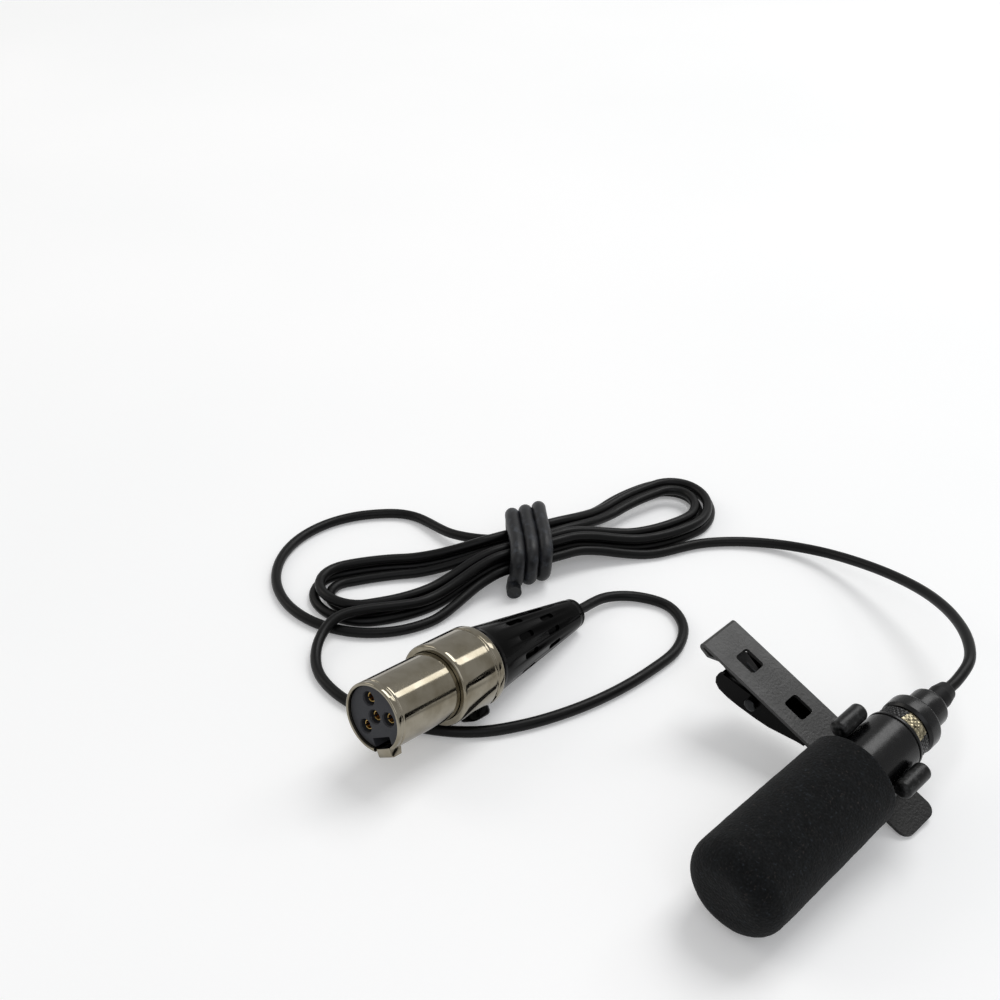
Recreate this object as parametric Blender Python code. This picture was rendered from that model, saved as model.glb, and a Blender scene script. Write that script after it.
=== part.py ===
"""Lavalier microphone: clip-on head with foam windscreen, tied cord and four-contact plug."""
import bpy
import bmesh
from math import acos, asin, atan2, cos, hypot, pi, radians, sin, sqrt
from mathutils import Matrix, Vector

for old in list(bpy.data.objects):
    bpy.data.objects.remove(old, do_unlink=True)

mm = 0.001
gap = 0.3 * mm                    # clearance between neighbouring pieces
round_sides = 32                  # facets round the larger turned pieces
small_sides = 24                  # facets round the slimmer ones

# where the head lies: its axis runs along +Y towards the cord, nose a little down
head_x = 9.65 * mm
head_y = 6.15 * mm
head_tilt = 5.0                   # degrees, cord end raised
head_roll = 20.4                  # degrees about the axis, the strap's tab near the ground

# microphone body, turned about the head's Y axis, 0 at the front of the clip strap
body_radius = 4.3 * mm
nose_radius = 4.1 * mm            # front length, inside the windscreen
body_bore = 3.7 * mm
nose_length = 12.0 * mm
body_length = 5.5 * mm
ridge_radius = 4.7 * mm
ridge_width = 0.9 * mm
body_rear = 3.4 * mm

# foam windscreen
foam_length = 25.2 * mm
foam_mouth_radius = 6.35 * mm
foam_end_radius = 6.6 * mm
foam_edge_round = 3.3 * mm

# front grille and the parts behind it
grille_height = 2.4 * mm
grille_wall = 0.5 * mm
grille_hole_radius = 0.36 * mm
capsule_radius = 2.5 * mm
capsule_length = 2.8 * mm
seat_wall = 0.6 * mm
board_length = 9.6 * mm
board_thickness = 0.8 * mm

# knurled collar, rear cap, gland nut and strain relief
band_radius = 4.1 * mm
band_length = 2.0 * mm
thread_length = 1.9 * mm
collar_bore = 2.4 * mm
cap_radius = 4.6 * mm
cap_length = 2.4 * mm
cap_wall = 0.55 * mm
nut_radius = 3.6 * mm
nut_length = 3.5 * mm
nut_bore = 1.7 * mm
relief_radius = 2.5 * mm
relief_length = 3.8 * mm
relief_tip_radius = 1.5 * mm

# cradle that grips the body
cradle_wall = 0.45 * mm
cradle_front = -1.2 * mm
cradle_length = 6.4 * mm
bead_radius = 1.45 * mm
bead_front = -0.8 * mm            # the beads are shorter than the cradle
bead_rear = 4.3 * mm
bead_angle = 26.0                 # degrees above the level line through the axis

# folded clip strap
strap_width = 6.6 * mm
strap_sheet = 0.55 * mm
strap_tab = 9.5 * mm              # beyond the axis, past the far bead
strap_reach = 26.4 * mm           # fold end, on the thumb side
strap_corner = 1.6 * mm
fold_radius = 0.4 * mm
curl_turn = 275.0                 # degrees that the leg's end goes round the pin
leg_slope = 15.0                  # degrees, the folded leg runs back and down
leg_width = 4.1 * mm
window_length = 3.3 * mm
window_width = 2.5 * mm
window_corner = 0.5 * mm
window_inner = 11.6 * mm          # window centres, measured from the axis
window_outer = 20.4 * mm

# pivot, lever and spring
pivot_x = -16.3 * mm
pin_radius = 0.45 * mm
pin_head_radius = 0.9 * mm
knuckle_width = 1.25 * mm
lever_width = 5.9 * mm
lever_sheet = 0.5 * mm
lever_depth = 4.95 * mm           # strap underside to the belly of the lever
lever_thumb = 6.1 * mm            # thumb end, measured from the pivot
jaw_reach = 6.8 * mm              # jaw tip beyond the axis
jaw_sheet = 0.45 * mm
jaw_tip_width = 4.4 * mm
spring_wire = 0.36 * mm
spring_radius = 1.25 * mm
spring_turns = 3
spring_pitch = 0.8 * mm

# cord
cord_diameter = 1.6 * mm
cord_radius = cord_diameter / 2

# plug, turned about its own Y axis, 0 at the mouth
plug_x = -38.4 * mm
plug_y = -34.0 * mm
plug_turn = 5.5                   # degrees about the vertical
plug_roll = 148.0                 # degrees about its axis, latch low on the near side
barrel_radius = 4.85 * mm
barrel_wall = 0.45 * mm
barrel_length = 17.0 * mm
grip_radius = 5.8 * mm
grip_front = 11.7 * mm
grip_length = 8.3 * mm
insert_length = 10.4 * mm
insert_setback = 0.6 * mm
contact_circle = 2.5 * mm
contact_radius = 0.62 * mm
contact_bore = 0.38 * mm
latch_width = 2.6 * mm
latch_sheet = 0.4 * mm
latch_nose = 0.75 * mm            # stands out of the barrel
button_width = 3.6 * mm
button_length = 3.8 * mm
button_height = 1.0 * mm          # above the grip
boot_radius = 5.2 * mm
boot_tip_radius = 2.3 * mm
boot_length = 22.7 * mm
boot_slots = 10                   # round each of its two rows
boot_slot_depth = 0.55 * mm
boot_rows = [                     # from the boot's front, length, half width, share of a step
    (5.7 * mm, 3.4 * mm, 0.42 * mm, 0.0),
    (12.3 * mm, 3.0 * mm, 0.36 * mm, 0.5)]
clamp_length = 6.2 * mm

# tied hank of cord
hank_x = -58.8 * mm
hank_y = 14.8 * mm
hank_turn = 72.0                  # degrees, long way of the hank
hank_half = 33.0 * mm             # half length of the innermost loop
hank_end_half = 4.8 * mm          # half width of that loop at its ends
hank_pitch = 2.3 * mm             # from one loop to the next
hank_layer = 2.1 * mm             # from one layer to the next
waist_half = 1.6 * mm             # half width of the innermost loop at the tie
waist_pitch = 2.15 * mm
hank_bow = 2.8                    # sideways bend, per metre squared
stray_reach = 15.4 * mm           # size of the loose fold at the left end
stray_x = -23.0 * mm
stray_y = 6.6 * mm

# cord tie
tie_radius = 1.0 * mm
tie_turns = 3
tie_pitch = 2.35 * mm
tie_slack = 0.35 * mm             # room for its rounded corners


def paint(name, colour, roughness, metallic=0.0):
    material = bpy.data.materials.new(name)
    material.use_nodes = True
    shader = material.node_tree.nodes["Principled BSDF"]
    shader.inputs["Base Color"].default_value = (*colour, 1.0)
    shader.inputs["Roughness"].default_value = roughness
    shader.inputs["Metallic"].default_value = metallic
    return material


satin_black = paint("satin_black", (0.022, 0.023, 0.024), 0.38)
gloss_black = paint("gloss_black", (0.012, 0.012, 0.013), 0.18)
foam_black = paint("foam_black", (0.018, 0.020, 0.022), 0.95)
cord_black = paint("cord_black", (0.014, 0.014, 0.015), 0.5)
rubber_black = paint("rubber_black", (0.02, 0.02, 0.021), 0.6)
insert_black = paint("insert_black", (0.03, 0.03, 0.032), 0.55)
nickel = paint("nickel", (0.72, 0.70, 0.66), 0.12, 1.0)
steel = paint("steel", (0.5, 0.5, 0.49), 0.3, 1.0)
gold = paint("gold", (0.83, 0.6, 0.2), 0.25, 1.0)
board_green = paint("board_green", (0.02, 0.12, 0.05), 0.5)


def frame_at(name, place, turns, order="YXZ"):
    empty = bpy.data.objects.new(name, None)
    bpy.context.collection.objects.link(empty)
    empty.rotation_mode = order
    empty.location = place
    empty.rotation_euler = [radians(t) for t in turns]
    return empty


def add_object(name, data, material, parent, origin=(0, 0, 0)):
    item = bpy.data.objects.new(name, data)
    bpy.context.collection.objects.link(item)
    item.parent = parent
    item.location = origin
    if material:
        data.materials.append(material)
    return item


def mesh_object(name, bm, material, parent, origin=(0, 0, 0), smooth=True):
    """Shift the mesh so that origin becomes the object's own origin."""
    bmesh.ops.translate(bm, verts=bm.verts, vec=-Vector(origin))
    bmesh.ops.recalc_face_normals(bm, faces=bm.faces)
    mesh = bpy.data.meshes.new(name)
    bm.to_mesh(mesh)
    bm.free()
    if smooth:
        mesh.shade_smooth()
        mesh.set_sharp_from_angle(angle=radians(35))
    return add_object(name, mesh, material, parent, origin)


def turned(name, profile, material, parent, sides=round_sides, axis=(0, 0), origin=(0, 0, 0)):
    """Revolve (along, radius) points round the Y line through axis = (x, z)."""
    bm = bmesh.new()
    x, z = axis
    points = [bm.verts.new((x + r, y, z)) for y, r in profile]
    edges = [bm.edges.new(pair) for pair in zip(points, points[1:])]
    if profile[0][1] > 0:
        edges.append(bm.edges.new((points[-1], points[0])))
    bmesh.ops.spin(bm, geom=points + edges, axis=(0, 1, 0), cent=(x, 0, z),
                   steps=sides, angle=2 * pi, use_merge=True)
    bmesh.ops.remove_doubles(bm, verts=bm.verts, dist=0.001 * mm)
    return mesh_object(name, bm, material, parent, origin)


def prism(name, outline, front, rear, material, parent, origin=(0, 0, 0), tip=None):
    """Extrude an (x, z) outline along Y; tip = (x, width) narrows what lies beyond x."""
    bm = bmesh.new()
    face = bm.faces.new([bm.verts.new((x, front, z)) for x, z in outline])
    grown = bmesh.ops.extrude_face_region(bm, geom=[face])["geom"]
    moved = [v for v in grown if isinstance(v, bmesh.types.BMVert)]
    bmesh.ops.translate(bm, verts=moved, vec=(0, rear - front, 0))
    if tip:
        middle = (front + rear) / 2
        for v in bm.verts:
            if v.co.x > tip[0]:
                v.co.y = middle + (v.co.y - middle) * tip[1] / (rear - front)
    return mesh_object(name, bm, material, parent, origin)


def block(name, low, high, parent, round_edges=0.0, along="Y", material=None, segments=3):
    """A box between two corners, with the edges that run along one axis rounded."""
    bm = bmesh.new()
    bmesh.ops.create_cube(bm, size=1.0)
    size = [h - l for l, h in zip(low, high)]
    bmesh.ops.scale(bm, verts=bm.verts, vec=size)
    bmesh.ops.translate(bm, verts=bm.verts, vec=[(l + h) / 2 for l, h in zip(low, high)])
    if round_edges:
        axis = "XYZ".index(along)
        edges = [e for e in bm.edges
                 if abs(e.verts[0].co[axis] - e.verts[1].co[axis]) > 0.5 * size[axis]]
        bmesh.ops.bevel(bm, geom=edges, offset=round_edges, segments=segments,
                        affect="EDGES", profile=0.5)
    return mesh_object(name, bm, material, parent)


def cutter(item):
    item.hide_render = True
    item.display_type = "WIRE"
    return item


def boolean(target, tool, operation="DIFFERENCE"):
    step = target.modifiers.new(operation.lower(), "BOOLEAN")
    step.operation = operation
    step.solver = "EXACT"
    step.object = cutter(tool)


def soften(item, width, segments=2, angle=50):
    step = item.modifiers.new("edges", "BEVEL")
    step.width = width
    step.segments = segments
    step.limit_method = "ANGLE"
    step.angle_limit = radians(angle)


def arc(centre, radius, start, end, steps):
    return [(centre[0] + radius * cos(radians(start + (end - start) * i / steps)),
             centre[1] + radius * sin(radians(start + (end - start) * i / steps)))
            for i in range(steps + 1)]


def strip(path, sheet):
    """Outline of a sheet of even thickness whose middle follows path."""
    left, right = [], []
    for i, (x, z) in enumerate(path):
        ahead = path[min(i + 1, len(path) - 1)]
        behind = path[max(i - 1, 0)]
        dx, dz = ahead[0] - behind[0], ahead[1] - behind[1]
        size = hypot(dx, dz)
        left.append((x - dz / size * sheet / 2, z + dx / size * sheet / 2))
        right.append((x + dz / size * sheet / 2, z - dx / size * sheet / 2))
    return left + right[::-1]


def smooth_route(points, spacing):
    """Even points on the centripetal curve through the given ones."""
    knots = [Vector(p) for p in points]
    knots = [knots[0] * 2 - knots[1]] + knots + [knots[-1] * 2 - knots[-2]]
    dense = []
    for a, b, c, d in zip(knots, knots[1:], knots[2:], knots[3:]):
        t1 = (b - a).length ** 0.5
        t2 = t1 + (c - b).length ** 0.5
        t3 = t2 + (d - c).length ** 0.5
        for i in range(12):
            t = t1 + (t2 - t1) * i / 12
            ab = a * ((t1 - t) / t1) + b * (t / t1)
            bc = b * ((t2 - t) / (t2 - t1)) + c * ((t - t1) / (t2 - t1))
            cd = c * ((t3 - t) / (t3 - t2)) + d * ((t - t2) / (t3 - t2))
            abc = ab * ((t2 - t) / t2) + bc * (t / t2)
            bcd = bc * ((t3 - t) / (t3 - t1)) + cd * ((t - t1) / (t3 - t1))
            dense.append(abc * ((t2 - t) / (t2 - t1)) + bcd * ((t - t1) / (t2 - t1)))
    dense.append(knots[-2])
    total = sum((b - a).length for a, b in zip(dense, dense[1:]))
    count = max(2, round(total / spacing))
    wanted, out, walked, i = 0.0, [], 0.0, 0
    while len(out) < count:
        step = (dense[i + 1] - dense[i]).length
        if walked + step >= wanted:
            out.append(dense[i].lerp(dense[i + 1], (wanted - walked) / step))
            wanted = total * len(out) / count
        else:
            walked += step
            i += 1
    return out + [dense[-1]]


def laid(points):
    """Keep a cord's middle at least its own radius above the ground."""
    return [Vector((p.x, p.y, max(p.z, cord_radius))) for p in points]


def tube(name, points, radius, material, resolution=1, parent=None):
    curve = bpy.data.curves.new(name, "CURVE")
    curve.dimensions = "3D"
    curve.bevel_depth = radius
    curve.bevel_resolution = resolution
    curve.render_resolution_u = 0
    curve.use_fill_caps = True
    line = curve.splines.new("POLY")
    line.points.add(len(points) - 1)
    for knot, place in zip(line.points, points):
        knot.co = (*place, 1.0)
    return add_object(name, curve, material, parent)


def fill_in(points, step=0.6 * mm):
    """Points every step along the straight pieces of a route."""
    out = []
    for a, b in zip(points, points[1:]):
        count = max(1, round((b - a).length / step))
        out += [a.lerp(b, i / count) for i in range(count)]
    return out + [points[-1]]


def least_gap(points, radius):
    """Smallest clearance of a tube to itself, on points along it."""
    points = fill_in(points)
    run = [0.0]
    for a, b in zip(points, points[1:]):
        run.append(run[-1] + (b - a).length)
    least = 1.0
    for i, a in enumerate(points):
        for j in range(i + 1, len(points)):
            if run[j] - run[i] > 7 * radius:
                least = min(least, (a - points[j]).length - 2 * radius)
    return least


# ---- head: the foam's rounded edge rests on z = 0 ----
nose_rear = body_rear - body_length
ridge_front = nose_rear - ridge_width
body_front = ridge_front - nose_length
foam_mouth = ridge_front - gap
foam_end = foam_mouth - foam_length
edge_y = foam_end + foam_edge_round
tilt = radians(head_tilt)
head_z = (-edge_y * sin(tilt) + (foam_end_radius - foam_edge_round) * cos(tilt)
          + foam_edge_round * cos(pi / round_sides))
head = frame_at("head", (head_x, head_y, head_z), (head_tilt, head_roll, 0))

groove = 0.25 * mm
turned("mic_body", [
    (body_front, body_bore),
    (body_front, nose_radius - groove),
    (body_front + groove, nose_radius),
    (ridge_front, nose_radius),
    (ridge_front, ridge_radius - groove),
    (ridge_front + groove, ridge_radius),
    (nose_rear - groove, ridge_radius),
    (nose_rear, ridge_radius - groove),
    (nose_rear, body_radius - groove),
    (nose_rear + groove, body_radius),
    (body_rear - 0.8 * mm, body_radius),
    (body_rear - 0.7 * mm, body_radius - 0.2 * mm),
    (body_rear - 0.5 * mm, body_radius - 0.2 * mm),
    (body_rear - 0.4 * mm, body_radius),
    (body_rear - 0.1 * mm, body_radius),
    (body_rear, body_radius - 0.12 * mm),
    (body_rear, body_bore)], satin_black, head)

grille_rear = body_front - gap
grille_front = grille_rear - grille_height
spigot = body_bore - gap
spigot_bore = spigot - grille_wall
spigot_length = 1.4 * mm
grille = turned("front_grille", [
    (grille_front, 0),
    (grille_front, nose_radius - 1.2 * mm),
    (grille_front + 0.2 * mm, nose_radius - 0.5 * mm),
    (grille_front + 0.6 * mm, nose_radius),
    (grille_rear, nose_radius),
    (grille_rear, spigot),
    (grille_rear + spigot_length, spigot),
    (grille_rear + spigot_length, spigot_bore),
    (grille_front + grille_wall, spigot_bore),
    (grille_front + grille_wall, 0)], satin_black, head)
for ring, (count, circle) in enumerate([(1, 0), (6, 1.05 * mm), (12, 2.15 * mm)]):
    for i in range(count):
        turn = 2 * pi * i / count
        hole = turned(f"grille_hole_{ring}_{i}", [
            (grille_front - gap, 0),
            (grille_front - gap, grille_hole_radius),
            (grille_front + grille_wall + gap, grille_hole_radius),
            (grille_front + grille_wall + gap, 0)],
            None, head, 8, axis=(circle * cos(turn), circle * sin(turn)))
        boolean(grille, hole)

foam_bore = nose_radius + gap
foam_floor = grille_front - gap
foam_lip = 0.25 * mm
foam_profile = [(foam_end, 0)]
foam_profile += [(edge_y + foam_edge_round * c, foam_end_radius - foam_edge_round
                  + foam_edge_round * s)
                 for c, s in [(cos(radians(a)), sin(radians(a))) for a in range(180, 89, -18)]]
foam_side = foam_mouth - edge_y
foam_profile += [
    (edge_y + foam_side * 0.33, foam_end_radius * 0.68 + foam_mouth_radius * 0.32 + 0.1 * mm),
    (edge_y + foam_side * 0.66, foam_end_radius * 0.36 + foam_mouth_radius * 0.64 + 0.1 * mm),
    (foam_mouth - foam_lip, foam_mouth_radius),
    (foam_mouth, foam_mouth_radius - foam_lip),
    (foam_mouth, foam_bore + 0.1 * mm),
    (foam_mouth - foam_lip, foam_bore),
    (foam_floor, foam_bore),
    (foam_floor, 0)]
turned("windscreen", foam_profile, foam_black, head)

seat_radius = spigot
seat_bore = seat_radius - seat_wall
capsule_front = grille_rear + spigot_length + 2 * gap
turned("capsule_seat", [
    (capsule_front - gap, seat_bore),
    (capsule_front - gap, seat_radius),
    (capsule_front + capsule_length + gap, seat_radius),
    (capsule_front + capsule_length + gap, seat_bore)], rubber_black, head, small_sides)
capsule_fit = min(capsule_radius, seat_bore - gap)
turned("capsule", [
    (capsule_front, 0),
    (capsule_front, capsule_fit),
    (capsule_front + capsule_length, capsule_fit),
    (capsule_front + capsule_length, 0)], steel, head, small_sides)
board_front = capsule_front + capsule_length + 2 * gap
board_half = sqrt((body_bore - gap) ** 2 - (board_thickness / 2) ** 2)
block("preamp_board", (-board_half, board_front, -board_thickness / 2),
      (board_half, board_front + board_length, board_thickness / 2),
      head, material=board_green)

collar_front = board_front + board_length + gap
band_front = body_rear + gap
band_rear = band_front + band_length
collar_rear = band_rear + thread_length
cap_bore = cap_radius - cap_wall
thread_radius = cap_bore - gap
turned("threaded_collar", [
    (collar_front, collar_bore),
    (collar_front, spigot),
    (band_front, spigot),
    (band_front, band_radius - 0.15 * mm),
    (band_front + 0.15 * mm, band_radius),
    (band_rear - 0.15 * mm, band_radius),
    (band_rear, band_radius - 0.15 * mm),
    (band_rear, thread_radius),
    (collar_rear, thread_radius),
    (collar_rear, collar_bore)], nickel, head)

cap_front = band_rear + gap
cap_rear = cap_front + cap_length
cap_hole = collar_bore + 0.2 * mm
cap_round = 0.4 * mm
turned("rear_cap", [
    (cap_front, cap_bore),
    (cap_front, cap_bore + 0.2 * mm),
    (cap_front + 0.5 * mm, cap_radius),
    (cap_rear - cap_round, cap_radius),
    (cap_rear - 0.12 * mm, cap_radius - 0.12 * mm),
    (cap_rear, cap_radius - cap_round),
    (cap_rear, cap_hole),
    (cap_rear - cap_wall, cap_hole),
    (cap_rear - cap_wall, cap_bore)], satin_black, head)

nut_front = cap_rear + gap
nut_rear = nut_front + nut_length
nut_round = 0.7 * mm
nut_spigot = cap_hole - gap
turned("gland_nut", [
    (cap_rear - 1.5 * mm, nut_bore),
    (cap_rear - 1.5 * mm, nut_spigot),
    (nut_front, nut_spigot),
    (nut_front, nut_radius - 0.15 * mm),
    (nut_front + 0.15 * mm, nut_radius),
    (nut_rear - nut_round, nut_radius),
    (nut_rear - 0.2 * mm, nut_radius - 0.2 * mm),
    (nut_rear, nut_radius - nut_round),
    (nut_rear, nut_bore)], satin_black, head)

relief_front = nut_rear + gap
relief_rear = relief_front + relief_length
relief_stem = nut_bore - gap
turned("strain_relief", [
    (relief_front - 2.8 * mm, 0),
    (relief_front - 2.8 * mm, relief_stem),
    (relief_front, relief_stem),
    (relief_front, relief_radius - 0.3 * mm),
    (relief_front + 0.3 * mm, relief_radius),
    (relief_front + 0.45 * relief_length, relief_radius),
    (relief_front + 0.75 * relief_length, 0.6 * relief_radius + 0.4 * relief_tip_radius),
    (relief_rear, relief_tip_radius),
    (relief_rear, 0)], rubber_black, head, small_sides)

# ---- cradle: a C round the body that ends in two beads ----
cradle_inner = body_radius + gap
cradle_outer = cradle_inner + cradle_wall
bead_centre = cradle_inner + bead_radius
meet = acos((cradle_outer ** 2 - bead_centre ** 2 - bead_radius ** 2)
            / (2 * bead_centre * bead_radius))
meet_turn = asin(bead_radius * sin(meet) / cradle_outer)
low = bead_angle - meet_turn * 180 / pi
meet_angle = meet * 180 / pi
right_bead = (bead_centre * cos(radians(bead_angle)), bead_centre * sin(radians(bead_angle)))
left_bead = (-right_bead[0], right_bead[1])
bead_foot = cradle_outer * sin(radians(low)) - 0.3 * mm
outline = arc((0, 0), cradle_outer, -180 - low, low, 22)
outline += arc(right_bead, bead_radius, bead_angle - meet_angle, bead_angle + 180, 14)[1:]
outline += arc((0, 0), cradle_inner, bead_angle, -180 - bead_angle, 24)[1:]
outline += arc(left_bead, bead_radius, -bead_angle, 180 - bead_angle + meet_angle, 14)[1:-1]
holder = prism("mic_holder", outline, cradle_front, cradle_front + cradle_length,
               satin_black, head)
for i, (front, rear) in enumerate([(cradle_front - gap, bead_front),
                                   (bead_rear, cradle_front + cradle_length + gap)]):
    trim = block(f"bead_trim_{i}", (-2 * cradle_outer, front, bead_foot),
                 (2 * cradle_outer, rear, 2 * cradle_outer), head)
    boolean(holder, trim)
soften(holder, 0.16 * mm)

# ---- clip strap: one sheet, folded at the thumb end, its leg curled round the pin ----
strap_top = -(cradle_outer + gap)
strap_middle = strap_top - strap_sheet / 2
strap_under = strap_top - strap_sheet
strap_centre = strap_width / 2
slope = radians(leg_slope)
fold_x = -strap_reach + strap_sheet / 2 + fold_radius
fold_z = strap_middle - fold_radius
fold = arc((fold_x, fold_z), fold_radius, 90, 270 - leg_slope, 6)
leg_start = fold[-1]


def on_leg(x):
    return leg_start[1] - (x - leg_start[0]) * sin(slope) / cos(slope)


knuckle_bore = pin_radius + gap
knuckle_middle = knuckle_bore + strap_sheet / 2
pivot_z = (knuckle_middle - (pivot_x - leg_start[0]) * sin(slope)) / cos(slope) + leg_start[1]
pivot = (pivot_x, 0, pivot_z)
curl = arc((pivot_x, pivot_z), knuckle_middle, 270 - leg_slope, 270 - leg_slope + curl_turn, 16)
strap = prism("clip_strap", strip([(strap_tab, strap_middle)] + fold + curl, strap_sheet),
              0, strap_width, satin_black, head)

# the leg steps in beside the lever's thumb end, then leaves room for the spring
wide_end = pivot_x - lever_thumb - 0.7 * mm
coil_front = strap_centre - leg_width / 2 + 0.05 * mm
coil_rear = coil_front + spring_turns * spring_pitch + spring_wire
knuckle_front = coil_rear + 0.25 * mm
knuckle_rear = knuckle_front + knuckle_width
leg_end = pivot_x - spring_radius - spring_wire - 0.9 * mm
leg_front = strap_centre - leg_width / 2
leg_rear = strap_centre + leg_width / 2
past = mm
for i, (start, front, rear) in enumerate([
        (wide_end, -past, leg_front), (wide_end, leg_rear, strap_width + past),
        (leg_end, leg_front - gap, knuckle_front), (leg_end, knuckle_rear, leg_rear + gap)]):
    side = block(f"leg_side_{i}", (start, front, pivot_z - 2 * knuckle_middle),
                 (pivot_x + 3 * knuckle_middle, rear, strap_under - 0.15 * mm), head)
    boolean(strap, side)
for place in (window_inner, window_outer):
    window = block(f"window_{round(place / mm)}",
                   (-place - window_length / 2, strap_centre - window_width / 2,
                    strap_under - 0.2 * mm),
                   (-place + window_length / 2, strap_centre + window_width / 2,
                    strap_top + 0.5 * mm), head, window_corner, "Z", segments=2)
    boolean(strap, window)


def plan_prism(name, outline, low_z, high_z):
    """Extrude an (x, y) outline upwards, as a cutter."""
    bm = bmesh.new()
    face = bm.faces.new([bm.verts.new((x, y, low_z)) for x, y in outline])
    grown = bmesh.ops.extrude_face_region(bm, geom=[face])["geom"]
    bmesh.ops.translate(bm, verts=[v for v in grown if isinstance(v, bmesh.types.BMVert)],
                        vec=(0, 0, high_z - low_z))
    return mesh_object(name, bm, None, head)


for i, (edge, sense) in enumerate([(0, 1), (strap_width, -1)]):
    corner = arc((strap_tab - strap_corner, edge + sense * strap_corner), strap_corner,
                 -90 * sense, 0, 5)
    corner = [(strap_tab - strap_corner, edge - sense * past)] + corner
    corner += [(strap_tab + past, edge + sense * strap_corner),
               (strap_tab + past, edge - sense * past)]
    boolean(strap, plan_prism(f"tab_corner_{i}", corner, strap_under - past,
                              strap_top + past))

# rivet that joins cradle and strap
rivet_radius = 0.9 * mm


def upright(name, radius, low_z, high_z, y, material=None, sides=16):
    bm = bmesh.new()
    bmesh.ops.create_cone(bm, cap_ends=True, segments=sides, radius1=radius, radius2=radius,
                          depth=high_z - low_z)
    bmesh.ops.translate(bm, verts=bm.verts, vec=(0, y, (low_z + high_z) / 2))
    return mesh_object(name, bm, material, head)


upright("holder_rivet", rivet_radius, strap_under, -(body_radius + gap) - 0.02 * mm,
        strap_centre, steel)
rivet_hole = upright("rivet_hole", rivet_radius + gap, strap_under - mm, -body_radius,
                     strap_centre)
boolean(holder, rivet_hole)
boolean(strap, rivet_hole)

# ---- pivot pin with a peened head at each end ----
lever_front = strap_centre - lever_width / 2
lever_rear = strap_centre + lever_width / 2
pin_head = 0.4 * mm
pin_profile = [
    (lever_front - gap - pin_head, 0),
    (lever_front - gap - pin_head, pin_head_radius - 0.25 * mm),
    (lever_front - gap - pin_head + 0.2 * mm, pin_head_radius),
    (lever_front - gap, pin_head_radius),
    (lever_front - gap, pin_radius),
    (lever_rear + gap, pin_radius),
    (lever_rear + gap, pin_head_radius),
    (lever_rear + gap + pin_head - 0.2 * mm, pin_head_radius),
    (lever_rear + gap + pin_head, pin_head_radius - 0.25 * mm),
    (lever_rear + gap + pin_head, 0)]
turned("pivot_pin", pin_profile, steel, head, 16, axis=(pivot_x, pivot_z),
       origin=pivot)

# ---- lever: a pressed channel under the thumb, a flat toothed jaw beyond it ----
belly = strap_under - lever_depth
thumb_x = pivot_x - lever_thumb
jaw_start = -8.2 * mm
jaw_top = strap_under - 0.45 * mm
jaw_under = jaw_top - jaw_sheet


def pressed(inset):
    """Underside of the channel from the jaw round to the thumb lip, moved in by inset."""
    return [(jaw_start + 0.6 * mm - 2 * inset, jaw_under - 0.05 * mm + inset),
            (jaw_start - 0.4 * mm - inset, jaw_under - 0.4 * mm + inset),
            (pivot_x + 3.6 * mm, belly + 1.6 * mm + inset),
            (pivot_x + 1.4 * mm, belly + 0.92 * mm + inset),
            (pivot_x - 1.4 * mm, belly + 0.28 * mm + inset),
            (pivot_x - 3.2 * mm, belly + inset),
            (thumb_x + 1.2 * mm + inset * 0.4, belly + 0.05 * mm + inset),
            (thumb_x + 0.35 * mm + inset * 0.7, belly + 0.6 * mm + inset * 0.8),
            (thumb_x + inset, belly + 1.6 * mm)]


sides_outline = pressed(0) + [
    (thumb_x + 0.1 * mm, belly + 2.6 * mm),
    (thumb_x + 0.7 * mm, belly + 3.1 * mm),
    (pivot_x + 1.2 * mm, strap_under - 0.5 * mm),
    (jaw_start + 0.6 * mm, jaw_top - 0.04 * mm)]
lever = prism("clip_lever", sides_outline, lever_front, lever_rear, satin_black, head,
              origin=pivot)
hollow = pressed(lever_sheet) + [
    (thumb_x - mm, belly + 1.6 * mm), (thumb_x - mm, strap_under + mm),
    (jaw_start - 0.4 * mm, strap_under + mm)]
channel = prism("lever_channel", hollow, lever_front + lever_sheet, lever_rear - lever_sheet,
                None, head)
boolean(lever, channel)
ear_hole = turned("ear_hole", [
    (lever_front - mm, 0), (lever_front - mm, pin_radius + gap),
    (lever_rear + mm, pin_radius + gap), (lever_rear + mm, 0)],
    None, head, 16, axis=(pivot_x, pivot_z))
boolean(lever, ear_hole)
jaw = prism("lever_jaw", [
    (jaw_start - 0.2 * mm, jaw_top), (jaw_reach - 1.4 * mm, jaw_top),
    (jaw_reach - 0.6 * mm, jaw_top + 0.15 * mm), (jaw_reach, jaw_top + 0.15 * mm),
    (jaw_reach, jaw_under), (jaw_start - 0.2 * mm, jaw_under)],
    lever_front + 0.2 * mm, lever_rear - 0.2 * mm, None, head,
    tip=(0, jaw_tip_width))
boolean(lever, jaw, "UNION")
for i in range(3):
    middle = strap_centre + (i - 1) * jaw_tip_width / 4
    notch = prism(f"jaw_notch_{i}", [
        (jaw_reach - 0.55 * mm, jaw_under - gap), (jaw_reach + gap, jaw_under - gap),
        (jaw_reach + gap, jaw_top + mm), (jaw_reach - 0.55 * mm, jaw_top + mm)],
        middle - 0.28 * mm, middle + 0.28 * mm, None, head)
    boolean(lever, notch)

# ---- torsion spring round the pin ----
wire = spring_wire / 2
upper_end = (pivot_x - 4.4 * mm, strap_under - gap - wire)
lower_end = (pivot_x - 4.2 * mm, belly + lever_sheet + gap + wire)


def touch_angle(end, side):
    dx, dz = end[0] - pivot_x, end[1] - pivot_z
    return atan2(dz, dx) + side * acos(spring_radius / hypot(dx, dz))


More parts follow.
